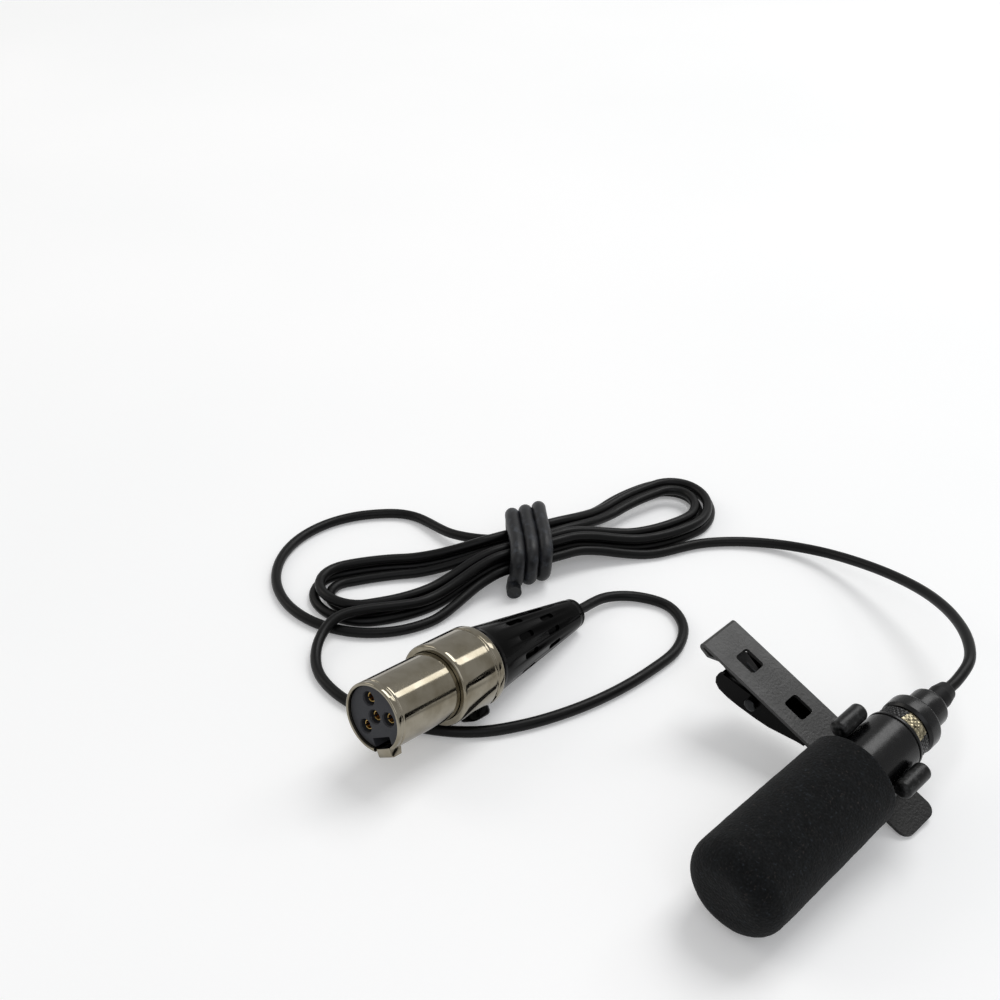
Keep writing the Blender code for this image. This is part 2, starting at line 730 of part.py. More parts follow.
enter = touch_angle(lower_end, 1)
leave = touch_angle(upper_end, -1)
while leave < enter + 2 * pi * (spring_turns - 0.75):
    leave += 2 * pi
first_y = coil_front + wire
spring_points = [Vector((lower_end[0], first_y, lower_end[1]))]
steps = 10 * spring_turns
for i in range(steps + 1):
    turn = enter + (leave - enter) * i / steps
    spring_points.append(Vector((pivot_x + spring_radius * cos(turn),
                                 first_y + spring_pitch * (turn - enter) / (2 * pi),
                                 pivot_z + spring_radius * sin(turn))))
last_y = spring_points[-1].y
spring_points.append(Vector((upper_end[0], last_y, upper_end[1])))
tube("clip_spring", spring_points, wire, steel, 1, head)
print("clip spring least gap", round(least_gap(spring_points, wire) / mm, 2), "mm")

# ---- plug: the boot's tip lies on z = 0 and the grip on the cord that passes under it ----
boot_front = grip_front + grip_length + gap
boot_rear = boot_front + boot_length
over_cord = grip_front - 0.3 * mm                      # where the cord passes
lift = cord_diameter + gap
span = boot_rear - over_cord
nose_up = 0.0
for _ in range(20):
    nose_up = asin((lift + (grip_radius - boot_tip_radius) * cos(nose_up)) / span)
plug_z = boot_rear * sin(nose_up) + boot_tip_radius * cos(nose_up) + 0.06 * mm
plug = frame_at("plug", (plug_x, plug_y, plug_z),
                (-nose_up * 180 / pi, plug_roll, plug_turn))

barrel_bore = barrel_radius - barrel_wall
shell = turned("plug_barrel", [
    (0, barrel_bore),
    (0, barrel_radius - 0.2 * mm),
    (0.2 * mm, barrel_radius),
    (0.8 * mm, barrel_radius),
    (0.9 * mm, barrel_radius - 0.15 * mm),
    (1.1 * mm, barrel_radius - 0.15 * mm),
    (1.2 * mm, barrel_radius),
    (barrel_length, barrel_radius),
    (barrel_length, barrel_bore)], nickel, plug)
grip_bore = barrel_radius + gap
grip_rear = grip_front + grip_length
grip = turned("plug_grip", [
    (grip_front, grip_bore),
    (grip_front, grip_radius - 0.35 * mm),
    (grip_front + 0.35 * mm, grip_radius),
    (grip_front + 6.6 * mm, grip_radius),
    (grip_front + 6.75 * mm, grip_radius - 0.18 * mm),
    (grip_front + 7.0 * mm, grip_radius - 0.18 * mm),
    (grip_front + 7.15 * mm, grip_radius),
    (grip_rear - 0.3 * mm, grip_radius),
    (grip_rear, grip_radius - 0.3 * mm),
    (grip_rear, grip_bore)], nickel, plug)

insert_front = insert_setback
insert_rear = insert_front + insert_length
insert_radius = barrel_bore - gap
insert = turned("plug_insert", [
    (insert_front, 0),
    (insert_front, insert_radius - 0.2 * mm),
    (insert_front + 0.2 * mm, insert_radius),
    (insert_rear, insert_radius),
    (insert_rear, 0)], insert_black, plug)
contact_places = [(0, 0)] + [(contact_circle * cos(radians(a)), contact_circle * sin(radians(a)))
                             for a in (270, 167, 26)]
for i, (x, z) in enumerate(contact_places, 1):
    turned_hole = turned(f"insert_hole_{i}", [
        (insert_front - mm, 0), (insert_front - mm, contact_radius + gap),
        (insert_rear + mm, contact_radius + gap), (insert_rear + mm, 0)],
        None, plug, 16, axis=(x, z))
    boolean(insert, turned_hole)
    turned(f"contact_{i}", [
        (insert_front + 6.9 * mm, 0),
        (insert_front + 6.9 * mm, contact_bore),
        (insert_front + 0.5 * mm, contact_bore),
        (insert_front + 0.5 * mm, contact_radius),
        (insert_rear, contact_radius),
        (insert_rear, contact_radius - 0.17 * mm),
        (insert_rear + 1.6 * mm, contact_radius - 0.17 * mm),
        (insert_rear + 1.6 * mm, 0)], gold, plug, 14, axis=(x, z))

# latch: a sprung bar in a slot through the barrel, nose in front, button under the grip
bar_top = barrel_radius - 0.2 * mm
bar_under = bar_top - latch_sheet
latch_rear = grip_rear - 0.5 * mm
latch_hinge = (0, latch_rear, (bar_top + bar_under) / 2)
nose_top = barrel_radius + latch_nose
latch_front = 0.15 * mm
catch_rear = latch_front + 1.75 * mm
side_view = [(latch_front, bar_under), (latch_rear, bar_under), (latch_rear, bar_top),
             (catch_rear + 0.3 * mm, bar_top), (catch_rear, nose_top),
             (latch_front + 0.3 * mm, nose_top), (latch_front, nose_top - 0.25 * mm)]
bm = bmesh.new()
face = bm.faces.new([bm.verts.new((-latch_width / 2, y, z)) for y, z in side_view])
grown = bmesh.ops.extrude_face_region(bm, geom=[face])["geom"]
bmesh.ops.translate(bm, verts=[v for v in grown if isinstance(v, bmesh.types.BMVert)],
                    vec=(latch_width, 0, 0))
mesh_object("plug_latch", bm, nickel, plug, latch_hinge)
button_bottom = bar_top + gap
button_rear = latch_rear - 0.2 * mm
button_front = button_rear - button_length
button = block("latch_button", (-button_width / 2, button_front, button_bottom),
               (button_width / 2, button_rear, grip_radius + button_height),
               plug, material=gloss_black)
for v in button.data.vertices:
    v.co -= Vector(latch_hinge)
button.location = latch_hinge
soften(button, 0.5 * mm, 3, 60)
slot_half = latch_width / 2 + gap
slot = block("latch_slot", (-slot_half, -past, insert_radius - 1.3 * mm),
             (slot_half, latch_rear + gap, nose_top + mm), plug)
boolean(shell, slot)
boolean(insert, slot)
button_gate = block("button_gate", (-button_width / 2 - gap, button_front - gap,
                                    barrel_radius - 1.2 * mm),
                    (button_width / 2 + gap, grip_rear + mm, grip_radius + 2 * mm), plug)
boolean(grip, button_gate)

# cable clamp and slotted boot
clamp_front = insert_rear + 2.0 * mm
clamp_radius = barrel_bore - 0.6 * mm
clamp_rear = clamp_front + clamp_length
turned("cable_clamp", [
    (clamp_front, 1.1 * mm), (clamp_front, clamp_radius), (clamp_rear, clamp_radius),
    (clamp_rear, 1.1 * mm)], insert_black, plug, small_sides)
boot_bore = clamp_radius + 0.35 * mm
boot_spigot = barrel_radius
boot_profile = [
    (boot_front - gap, 0),
    (boot_front - gap, boot_bore),
    (barrel_length + 0.4 * mm, boot_bore),
    (barrel_length + 0.4 * mm, boot_spigot),
    (boot_front, boot_spigot),
    (boot_front, boot_radius - 0.2 * mm),
    (boot_front + 0.3 * mm, boot_radius)]
boot_profile += [(boot_rear - 0.3 * mm, boot_tip_radius),
                 (boot_rear, boot_tip_radius - 0.25 * mm), (boot_rear, 0)]
boot = turned("plug_boot", boot_profile, gloss_black, plug, 30)
boolean(boot, slot)
slots = bmesh.new()
for offset, length, half, shift in boot_rows:
    taper = (boot_radius - boot_tip_radius) / boot_length
    middle = boot_radius - taper * (offset + length / 2)
    for i in range(boot_slots):
        made = bmesh.ops.create_cube(slots, size=1.0)["verts"]
        bmesh.ops.scale(slots, verts=made, vec=(2 * half, length, 2 * boot_slot_depth))
        bmesh.ops.translate(slots, verts=made,
                            vec=(0, boot_front + offset + length / 2, middle))
        bmesh.ops.rotate(slots, verts=made, cent=(0, 0, 0), matrix=Matrix.Rotation(
            2 * pi * (i + shift) / boot_slots, 3, "Y"))
boolean(boot, mesh_object("boot_slot_cutter", slots, None, plug))

# ---- hank: one tube, three loops below wound inwards and more above wound outwards ----
hank = frame_at("hank", (hank_x, hank_y, 0), (0, 0, hank_turn))
waist_lift = 2 * tie_radius + gap + tie_slack


def ease(t):
    t = max(0.0, min(1.0, t))
    return t * t * (3 - 2 * t)


def hank_point(x, side, order, level):
    """A point of a run: side -1 near, +1 far; order counts pitches out from the middle."""
    spread = ease((abs(x) - 6 * mm) / (19 * mm))
    waist = waist_half + waist_pitch * order
    end = hank_end_half + hank_pitch * order
    raised = 1 - ease((abs(x) - 5 * mm) / (14 * mm))
    return Vector((x, side * (waist + (end - waist) * spread) + hank_bow * x * x,
                   cord_radius + level * hank_layer + waist_lift * raised))


def hank_fold(end, order_in, order_out, level):
    """Half turn at one end, from the near side to the far one at the left, back at the right."""
    points = []
    for i in range(1, 7):
        part = i / 7
        order = order_in + (order_out - order_in) * part
        radius = hank_end_half + hank_pitch * order
        centre = hank_half + hank_pitch * order - radius
        turn = pi * part
        x = end * (centre + radius * sin(turn))
        y = end * radius * cos(turn) + hank_bow * x * x
        points.append(Vector((x, y, cord_radius + level * hank_layer)))
    return points


run_marks = (-1.0, -0.66, -0.2, 0.2, 0.66, 1.0)
run_half = hank_half - hank_end_half
join_x = 20 * mm                  # where the microphone's stretch comes in
leave_x = -21 * mm                # where the plug's stretch goes out
hank_points = []
runs = [(2, 0), (1.5, 0), (1, 0), (0.5, 0), (0, 0), (-0.5, None), (0, 1), (0.5, 1), (1, 1)]
for i, (order, level) in enumerate(runs):
    side = -1 if i % 2 == 0 else 1
    for mark in run_marks:
        x = side * mark * run_half
        if i == 0 and not -12 * mm < x < join_x - 3 * mm:
            continue
        if i == 1 and x < -8 * mm:
            continue
        if i == len(runs) - 1 and x < leave_x + 2 * mm:
            continue
        climb = ease((side * mark + 1) / 2) if level is None else level
        hank_points.append(hank_point(x, side, order, climb))
    if i == 0:
        # the loose fold that has worked out of the bundle
        for turn in range(-80, -311, -23):
            reach = stray_reach * (1 - 0.0004 * (turn + 80))
            hank_points.append(Vector((stray_x + reach * cos(radians(turn)),
                                       stray_y + reach * sin(radians(turn)),
                                       cord_radius)))
        hank_points.append(Vector((-8.8 * mm, 10.6 * mm, cord_radius + 0.4 * waist_lift)))
    elif i < len(runs) - 1:
        hank_points += hank_fold(side, order, runs[i + 1][0], climb)
first = hank_point(join_x, -1, 2, 0)
ahead = (hank_point(join_x - 4 * mm, -1, 2, 0) - first).normalized()
start_in = [first, first + ahead * cord_diameter]
last = hank_point(leave_x, -1, 1, 1)
last_way = (hank_point(leave_x - 3 * mm, -1, 1, 1) - last).normalized()
end_out = [last, last + last_way * cord_diameter]
hank_route = start_in + hank_points + end_out
tube("cord_hank", hank_route, cord_radius, cord_black, 1, hank)
print("hank least gap", round(least_gap(hank_route, cord_radius) / mm, 2), "mm, length",
      round(sum((b - a).length for a, b in zip(hank_route, hank_route[1:])) / mm), "mm")

# ---- tie: three turns round the waist and a short tail ----
tie_y = -waist_pitch / 4
tie_half = waist_half + 1.75 * waist_pitch + cord_radius + tie_slack + gap + tie_radius
tie_low = tie_radius + 0.02 * mm
tie_high = (waist_lift + hank_layer + cord_diameter + tie_slack + gap + tie_radius)
tie_z = (tie_low + tie_high) / 2
tie_rise = (tie_high - tie_low) / 2
squareness = 2 / 4


def round_square(value):
    return (abs(value) ** squareness) * (1 if value >= 0 else -1)


tie_points = []
tie_steps = 20 * tie_turns + 4
tie_start = radians(-45)          # its ends are low on the near side
for i in range(tie_steps + 1):
    turn = tie_start + 2 * pi * tie_turns * i / tie_steps
    along = tie_pitch * ((turn - tie_start) / (2 * pi) - tie_turns / 2)
    tie_points.append(Vector((along, tie_y - tie_half * round_square(cos(turn)),
                              tie_z + tie_rise * round_square(sin(turn)))))
tail, end = tie_points[0], tie_points[-1]
tie_points = [tail + Vector((-1.2 * mm, -3.6 * mm, 0)),
              tail + Vector((-0.8 * mm, -1.8 * mm, 0))] + tie_points + [
              end + Vector((0.6 * mm, -1.6 * mm, 0)), end + Vector((1.3 * mm, -3.0 * mm, 0))]
tube("hank_tie", tie_points, tie_radius, rubber_black, 1, hank)
tie_to_hank = min((a - b).length for a in fill_in(tie_points)
                  for b in fill_in(hank_route) if abs(b.x) < 12 * mm)
print("tie least gap", round(least_gap(tie_points, tie_radius) / mm, 2), "mm, to hank",
      round((tie_to_hank - tie_radius - cord_radius) / mm, 2), "mm")

# ---- free stretches of cord ----
bpy.context.view_layer.update()


def leave_from(frame, place, way, distance=gap):
    """Start point a gap off a face and a second one a cord diameter further on."""
    turn = frame.matrix_world.to_3x3()
    point = frame.matrix_world @ Vector(place)
    heading = (turn @ Vector(way)).normalized()
    return [point + heading * distance, point + heading * (distance + cord_diameter)]


mic_start = leave_from(head, (0, relief_rear, 0), (0, 1, 0))
mic_end = leave_from(hank, first, -ahead)
mic_route = [Vector(p) * mm for p in (
    (8.9, 31.0, 11.0), (6.2, 35.4, 10.7), (1.4, 40.2, 9.6), (-4.8, 44.3, 8.0),
    (-12.4, 47.4, 5.9), (-20.4, 49.2, 3.7), (-27.2, 49.3, 2.1), (-33.4, 47.3, 1.2),
    (-38.6, 43.6, 0.85), (-42.4, 38.8, 0.8))]
mic_lead = mic_start + mic_route + mic_end[::-1]
lead_route = smooth_route(mic_lead[1:-1], 2.4 * cord_diameter)
lead_route = laid(mic_start[:1] + lead_route + mic_end[:1])
tube("mic_lead", lead_route, cord_radius, cord_black, 2)

plug_start = leave_from(plug, (0, boot_rear, 0), (0, 1, 0))
plug_end = leave_from(hank, end_out[1], last_way)
plug_route = [Vector(p) * mm for p in (
    (-42.6, 15.6, 1.4), (-40.0, 19.6, 1.0), (-35.2, 21.7, 0.8), (-30.4, 19.6, 0.8),
    (-27.4, 14.6, 0.8), (-26.8, 8.0, 0.8), (-27.2, 0.6, 0.8), (-28.6, -6.6, 0.8),
    (-31.0, -13.4, 0.8), (-34.4, -19.2, 0.8), (-39.4, -23.6, 0.8), (-46.0, -26.8, 0.8),
    (-53.2, -28.2, 0.8), (-59.6, -27.0, 0.9), (-64.0, -23.2, 1.7), (-65.4, -18.4, 2.7))]
plug_lead = plug_start + plug_route + plug_end[::-1]
lead_two = smooth_route(plug_lead[1:-1], 2.4 * cord_diameter)
lead_two = laid(plug_start[:1] + lead_two + plug_end[:1])
tube("plug_lead", lead_two, cord_radius, cord_black, 2)
for name, route in (("mic lead", lead_route), ("plug lead", lead_two)):
    print(name, "length", round(sum((b - a).length for a, b in zip(route, route[1:])) / mm), "mm")
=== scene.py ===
from math import atan2, ceil, cos, degrees, hypot, pi, radians, sin
import bmesh
import bpy
from mathutils import Euler, Matrix, Vector, noise


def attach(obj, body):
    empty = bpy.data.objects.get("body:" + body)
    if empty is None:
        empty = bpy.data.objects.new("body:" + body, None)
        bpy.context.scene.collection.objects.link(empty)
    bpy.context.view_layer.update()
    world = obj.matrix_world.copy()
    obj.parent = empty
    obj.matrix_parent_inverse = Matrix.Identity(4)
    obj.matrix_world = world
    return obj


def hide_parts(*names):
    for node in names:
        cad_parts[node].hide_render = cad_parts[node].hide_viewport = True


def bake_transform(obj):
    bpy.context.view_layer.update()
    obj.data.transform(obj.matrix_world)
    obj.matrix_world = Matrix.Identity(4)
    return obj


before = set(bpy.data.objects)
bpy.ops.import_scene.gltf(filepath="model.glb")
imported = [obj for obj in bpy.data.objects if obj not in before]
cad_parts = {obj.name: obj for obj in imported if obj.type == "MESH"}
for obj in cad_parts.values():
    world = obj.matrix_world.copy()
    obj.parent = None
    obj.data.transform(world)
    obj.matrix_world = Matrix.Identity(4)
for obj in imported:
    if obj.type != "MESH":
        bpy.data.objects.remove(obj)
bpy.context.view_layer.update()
mm = 0.001
print("frame loaded:", len(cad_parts), "nodes")

# where the turned parts lie, in mm and degrees: each has its own axis along Y
headPlace = dict(x=9.65, y=6.15, z=8.768, tilt=5.0, roll=20.4, turn=0.0)
plugPlace = dict(x=-38.4, y=-34.0, z=9.606, tilt=-9.7464, roll=148.0, turn=5.5)
hankPlace = dict(x=-58.8, y=14.8, z=0.0, tilt=0.0, roll=0.0, turn=72.0)


def placeMatrix(place):
    turn = Euler([radians(place[k]) for k in ("tilt", "roll", "turn")], "YXZ")
    spot = Vector((place["x"], place["y"], place["z"])) * mm
    return Matrix.Translation(spot) @ turn.to_matrix().to_4x4()


head = placeMatrix(headPlace)
plug = placeMatrix(plugPlace)
hank = placeMatrix(hankPlace)

# camera, at the photograph's viewing angle
view = dict(place=(69.27, -117.46, 130.0), heading=45.5, pitch=57.31, roll=0.97, lens=50.25)
cameraData = bpy.data.cameras.new("camera")
cameraData.lens = view["lens"]
cameraData.sensor_width = 36
camera = bpy.data.objects.new("camera", cameraData)
bpy.context.collection.objects.link(camera)
aim = (Matrix.Rotation(radians(view["heading"]), 4, "Z")
       @ Matrix.Rotation(radians(view["pitch"]), 4, "X")
       @ Matrix.Rotation(radians(view["roll"]), 4, "Z"))
camera.matrix_world = Matrix.Translation(Vector(view["place"]) * mm) @ aim
bpy.context.scene.camera = camera


# materials
def hexColour(code):
    parts = [int(code[i:i + 2], 16) / 255 for i in (1, 3, 5)]
    return [c / 12.92 if c <= 0.04045 else ((c + 0.055) / 1.055) ** 2.4 for c in parts] + [1.0]


# Add a node with its settings and links; stops are a colour ramp's (position, colour) pairs.
def addNode(tree, kind, settings=None, links=None, stops=()):
    node = tree.nodes.new("ShaderNode" + kind)
    for key, value in (settings or {}).items():
        if isinstance(key, str) and hasattr(node, key):
            setattr(node, key, value)
        else:
            node.inputs[key].default_value = value
    for key, source in (links or {}).items():
        tree.links.new(source, node.inputs[key])
    while stops and len(node.color_ramp.elements) < len(stops):
        node.color_ramp.elements.new(0.5)
    for i, (position, colour) in enumerate(stops):
        node.color_ramp.elements[i].position = position
        node.color_ramp.elements[i].color = hexColour(colour)
    return node


def newMaterial(name):
    material = bpy.data.materials.new(name)
    material.use_nodes = True
    return material, material.node_tree, material.node_tree.nodes["Principled BSDF"]


# Texture scale whose features are about this many millimetres across.
def perMm(size):
    return 1000 / size


# 1 for a ray that looks straight at a surface, through glass or in a mirror; 0 for one that lights it.
def lookingRays(tree):
    rays = addNode(tree, "LightPath").outputs
    through = addNode(tree, "Math", {"operation": "MAXIMUM"},
                      {0: rays["Is Camera Ray"], 1: rays["Is Transmission Ray"]}).outputs[0]
    return addNode(tree, "Math", {"operation": "MAXIMUM"}, {0: through, 1: rays["Is Glossy Ray"]}).outputs[0]


# open-cell polyurethane foam: cut, not moulded, so it is matt, with paler cell walls and coloured dust
foamCfg = dict(cell=0.34, mottle=1.5, speck=0.3, tint=1.1, dust=0.9, roughness=0.95, specular=0.15,
               sheen=0.04, sheenRoughness=0.6, relief=0.55, depth=0.1)
foam, tree, shader = newMaterial("open-cell polyurethane foam")
spot = addNode(tree, "TexCoord").outputs["Object"]
cells = addNode(tree, "TexVoronoi", {"Scale": perMm(foamCfg["cell"])}, {"Vector": spot}).outputs["Distance"]
mottle = addNode(tree, "TexNoise", {"Scale": perMm(foamCfg["mottle"]), "Detail": 4.0}, {"Vector": spot})
specks = addNode(tree, "TexNoise", {"Scale": perMm(foamCfg["speck"]), "Detail": 2.0}, {"Vector": spot})
tint = addNode(tree, "TexNoise", {"Scale": perMm(foamCfg["tint"])}, {"Vector": spot})
walls = addNode(tree, "ValToRGB", links={0: cells},
                stops=[(0.1, "#08090a"), (0.6, "#111314"), (0.95, "#181a1c")])
cloudy = addNode(tree, "ValToRGB", links={0: mottle.outputs["Fac"]},
                 stops=[(0.3, "#a4a6a8"), (0.7, "#ffffff")])
dark = addNode(tree, "Mix", {"data_type": "RGBA", "blend_type": "MULTIPLY", 0: 1.0},
               {6: walls.outputs["Color"], 7: cloudy.outputs["Color"]})
fleck = addNode(tree, "ValToRGB", links={0: tint.outputs["Fac"]},
                stops=[(0.4, "#35302e"), (0.5, "#222426"), (0.6, "#2b3036")])
dusty = addNode(tree, "MapRange", {"From Min": 0.58, "From Max": 0.74, "To Max": foamCfg["dust"]},
                {"Value": specks.outputs["Fac"]})
coat = addNode(tree, "Mix", {"data_type": "RGBA"},
               {0: dusty.outputs["Result"], 6: dark.outputs[2], 7: fleck.outputs["Color"]})
relief = addNode(tree, "Bump", {"Strength": foamCfg["relief"], "Distance": foamCfg["depth"] * mm},
                 {"Height": cells})
tree.links.new(coat.outputs[2], shader.inputs["Base Color"])
tree.links.new(relief.outputs["Normal"], shader.inputs["Normal"])
shader.inputs["Roughness"].default_value = foamCfg["roughness"]
shader.inputs["Specular IOR Level"].default_value = foamCfg["specular"]
shader.inputs["Sheen Weight"].default_value = foamCfg["sheen"]
shader.inputs["Sheen Roughness"].default_value = foamCfg["sheenRoughness"]


# A dark moulded or painted surface: fine grain in the bump, rubbed paler here and there.
# rough is the roughness from clean to handled, sizes are in mm, shine is the specular level.
def coated(name, colour, pale, rough, grain, grainSize, scuffs=0.0, scuffSize=0.8, shine=0.3):
    material, tree, shader = newMaterial(name)
    spot = addNode(tree, "TexCoord").outputs["Object"]
    fine = addNode(tree, "TexNoise", {"Scale": perMm(grainSize), "Detail": 3.0},
                   {"Vector": spot}).outputs["Fac"]
    broad = addNode(tree, "TexNoise", {"Scale": perMm(scuffSize), "Detail": 6.0, "Roughness": 0.65},
                    {"Vector": spot}).outputs["Fac"]
    rubbed = addNode(tree, "MapRange", {"From Min": 0.5, "From Max": 0.72, "To Max": scuffs},
                     {"Value": broad})
    handlingAndSheen = addNode(tree, "MapRange", {"From Min": 0.35, "From Max": 0.7, "To Min": rough[0],
                                         "To Max": rough[1]}, {"Value": broad})
    mix = addNode(tree, "Mix", {"data_type": "RGBA", 6: hexColour(colour), 7: hexColour(pale)},
                  {0: rubbed.outputs["Result"]})
    relief = addNode(tree, "Bump", {"Strength": min(grain, 1.0), "Distance": 0.02 * max(grain, 1.0) * mm},
                     {"Height": fine})
    tree.links.new(mix.outputs[2], shader.inputs["Base Color"])
    tree.links.new(handlingAndSheen.outputs["Result"], shader.inputs["Roughness"])
    tree.links.new(relief.outputs["Normal"], shader.inputs["Normal"])
    shader.inputs["Specular IOR Level"].default_value = shine
    return material


# lacquered aluminium, turned then sprayed: deep black with a soft even shine
satin = coated("satin black lacquered aluminium", "#060607", "#151617", (0.22, 0.33), 0.25, 0.14, 0.3)

# stamped steel under sprayed enamel: coarse orange peel, grey where it faces the sky
enamel = coated("black enamelled spring steel", "#0b0b0b", "#1a1a1a", (0.3, 0.4), 2.0, 0.36, 0.3, 2.0, 0.26)
# painted sheen: the base colour is made greyer towards the clip's fold, standing in for the lamp's reflection
# along the strap; tab and fold are in mm along the strap
paintedSheen = dict(tab=14.0, fold=-26.0, clean="#000000", worn="#3b3b3a")
tree = enamel.node_tree
shader = tree.nodes["Principled BSDF"]
spot = addNode(tree, "TexCoord").outputs["Object"]
strapWay = (head.to_3x3() @ Vector((1, 0, 0))).normalized()
strapZero = head.translation.dot(strapWay)
run = addNode(tree, "VectorMath", {"operation": "DOT_PRODUCT", 1: strapWay}, {0: spot})
handlingAndSheen = addNode(tree, "MapRange", {"From Min": strapZero + paintedSheen["tab"] * mm,
                                     "From Max": strapZero + paintedSheen["fold"] * mm},
                  {"Value": run.outputs["Value"]})
# the ramp runs from black at the tab to the grey painted sheen at the fold
sheenRamp = addNode(tree, "ValToRGB", links={0: handlingAndSheen.outputs["Result"]},
               stops=[(0.0, paintedSheen["clean"]), (1.0, paintedSheen["worn"])])
mix = addNode(tree, "Mix", {"data_type": "RGBA", "blend_type": "ADD", 0: 1.0},
              {6: shader.inputs["Base Color"].links[0].from_socket, 7: sheenRamp.outputs["Color"]})
tree.links.new(mix.outputs[2], shader.inputs["Base Color"])

# the same enamel polished by fingers: black and glossy, with the peel almost gone
rubbedEnamel = coated("polished black enamel", "#040404", "#0c0c0c", (0.16, 0.28), 0.5, 0.3, 0.3, 2.0, 0.04)
# injection-moulded nylon: low shine with grey scuffs on the beads that fingers push
cradleCoat = coated("black moulded nylon", "#070808", "#4c4c4d", (0.28, 0.45), 0.8, 0.25, 0.6, 0.6, 0.25)
# moulded rubber: dull, hardly any highlight
gripRubber = coated("black soft rubber", "#060607", "#151617", (0.45, 0.6), 0.5, 0.2, 0.4, shine=0.2)
# extruded PVC: smooth along its length, with a broad dim highlight
jacket = coated("black PVC cord jacket", "#040404", "#0d0d0e", (0.34, 0.46), 0.3, 0.35, 0.4, 1.6, 0.18)
# moulded silicone: holds dust, so it is blue-grey in patches
tieRubber = coated("black silicone tie", "#0f1013", "#494e56", (0.4, 0.55), 0.4, 0.3, 0.6, 1.6, 0.35)
# polished mould, so glossy: near black with thin sharp highlights
glossBlack = coated("glossy black nylon", "#020202", "#070708", (0.12, 0.22), 0.15, 0.5, 0.3, 3.0, 0.05)
# glass fibres near the skin leave it charcoal and matt
insertNylon = coated("dark grey glass-filled nylon", "#303135", "#414246", (0.5, 0.62), 0.5, 0.12, 0.5)
# varnished circuit board: even green
boardLacquer = coated("green lacquered board", "#14502a", "#1d6a38", (0.3, 0.4), 0.3, 0.5, 0.5)


# A plated or bare metal with handling smudges in its roughness; sizes are in mm.
def metal(name, colour, dull, rough, smudge=2.0, grain=0.1, grainSize=0.4):
    material, tree, shader = newMaterial(name)
    spot = addNode(tree, "TexCoord").outputs["Object"]
    haze = addNode(tree, "TexNoise", {"Scale": perMm(smudge), "Detail": 5.0}, {"Vector": spot}).outputs["Fac"]
    fine = addNode(tree, "TexNoise", {"Scale": perMm(grainSize), "Detail": 2.0},
                   {"Vector": spot}).outputs["Fac"]
    dulled = addNode(tree, "MapRange", {"From Min": 0.4, "From Max": 0.7}, {"Value": haze})
    hazed = addNode(tree, "MapRange", {"From Min": 0.35, "From Max": 0.7, "To Min": rough[0],
                                       "To Max": rough[1]}, {"Value": haze})
    mix = addNode(tree, "Mix", {"data_type": "RGBA", 6: hexColour(colour), 7: hexColour(dull)},
                  {0: dulled.outputs["Result"]})
    relief = addNode(tree, "Bump", {"Strength": grain, "Distance": 0.01 * mm}, {"Height": fine})
    tree.links.new(mix.outputs[2], shader.inputs["Base Color"])
    tree.links.new(hazed.outputs["Result"], shader.inputs["Roughness"])
    tree.links.new(relief.outputs["Normal"], shader.inputs["Normal"])
    shader.inputs["Metallic"].default_value = 1.0
    return material


# electroplated over turned brass: warm grey mirror with faint finger haze
nickel = metal("bright nickel plate", "#918b7d", "#7b7464", (0.06, 0.14), 3.0)
# the same plate pressed into points: sparkles, darker in random patches
knurlNickel = metal("knurled nickel", "#a89f86", "#3c382b", (0.2, 0.38), 0.5)
# sheared edges of the sheet, where the enamel has worn through, made paler still as a painted highlight where
# the sheet's thickness catches light
edgeWearAndHighlight = metal("bare steel edge with painted highlight", "#a5a5a0", "#5a5a57", (0.3, 0.5), 0.4)
# oil-blackened wire and pins: dark with a dull gleam
springSteel = metal("blackened spring steel", "#2c2d2e", "#1c1d1e", (0.28, 0.4), 0.5)
# thin gold over brass: yellow rings in the dark holes
gold = metal("gold plate", "#c4a668", "#917a48", (0.2, 0.32), 0.8)
# drawn can: pale and smooth
capsuleSteel = metal("stamped steel can", "#b5b5b0", "#94948f", (0.25, 0.35))


# building tools
def makePiece(name, bm, coats, body, replaced=(), place=None, sharp=35):
    if place:
        bmesh.ops.transform(bm, matrix=place, verts=bm.verts)
    mesh = bpy.data.meshes.new(name)
    bm.to_mesh(mesh)
    bm.free()
    mesh.shade_smooth()
    mesh.set_sharp_from_angle(angle=radians(sharp))
    for coat in coats:
        mesh.materials.append(coat)
    piece = bpy.data.objects.new(name, mesh)
    bpy.context.collection.objects.link(piece)
    if body:
        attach(piece, body)
    if replaced:
        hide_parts(*replaced)
    return piece


# Points of an outline given as (along, across, fillet radius) corners.
def filleted(corners, segments=4, closed=True):
    points = []
    for i, (x, y, radius) in enumerate(corners):
        here = Vector((x, y))
        if radius <= 0 or (not closed and i in (0, len(corners) - 1)):
            points.append(here)
            continue
        toBefore = Vector(corners[i - 1][:2]) - here
        toAfter = Vector(corners[(i + 1) % len(corners)][:2]) - here
        half = toBefore.angle(toAfter) / 2
        reach = min(radius / (sin(half) / cos(half)), 0.49 * min(toBefore.length, toAfter.length))
        toBefore.normalize()
        toAfter.normalize()
        size = reach * sin(half) / cos(half)
        centre = here + (toBefore + toAfter).normalized() * (size / sin(half))
        start = here + toBefore * reach - centre
        sweep = start.angle_signed(here + toAfter * reach - centre)
        for k in range(segments + 1):
            part = -sweep * k / segments
            points.append(centre + Vector((start.x * cos(part) - start.y * sin(part),
                                           start.x * sin(part) + start.y * cos(part))))
    return points


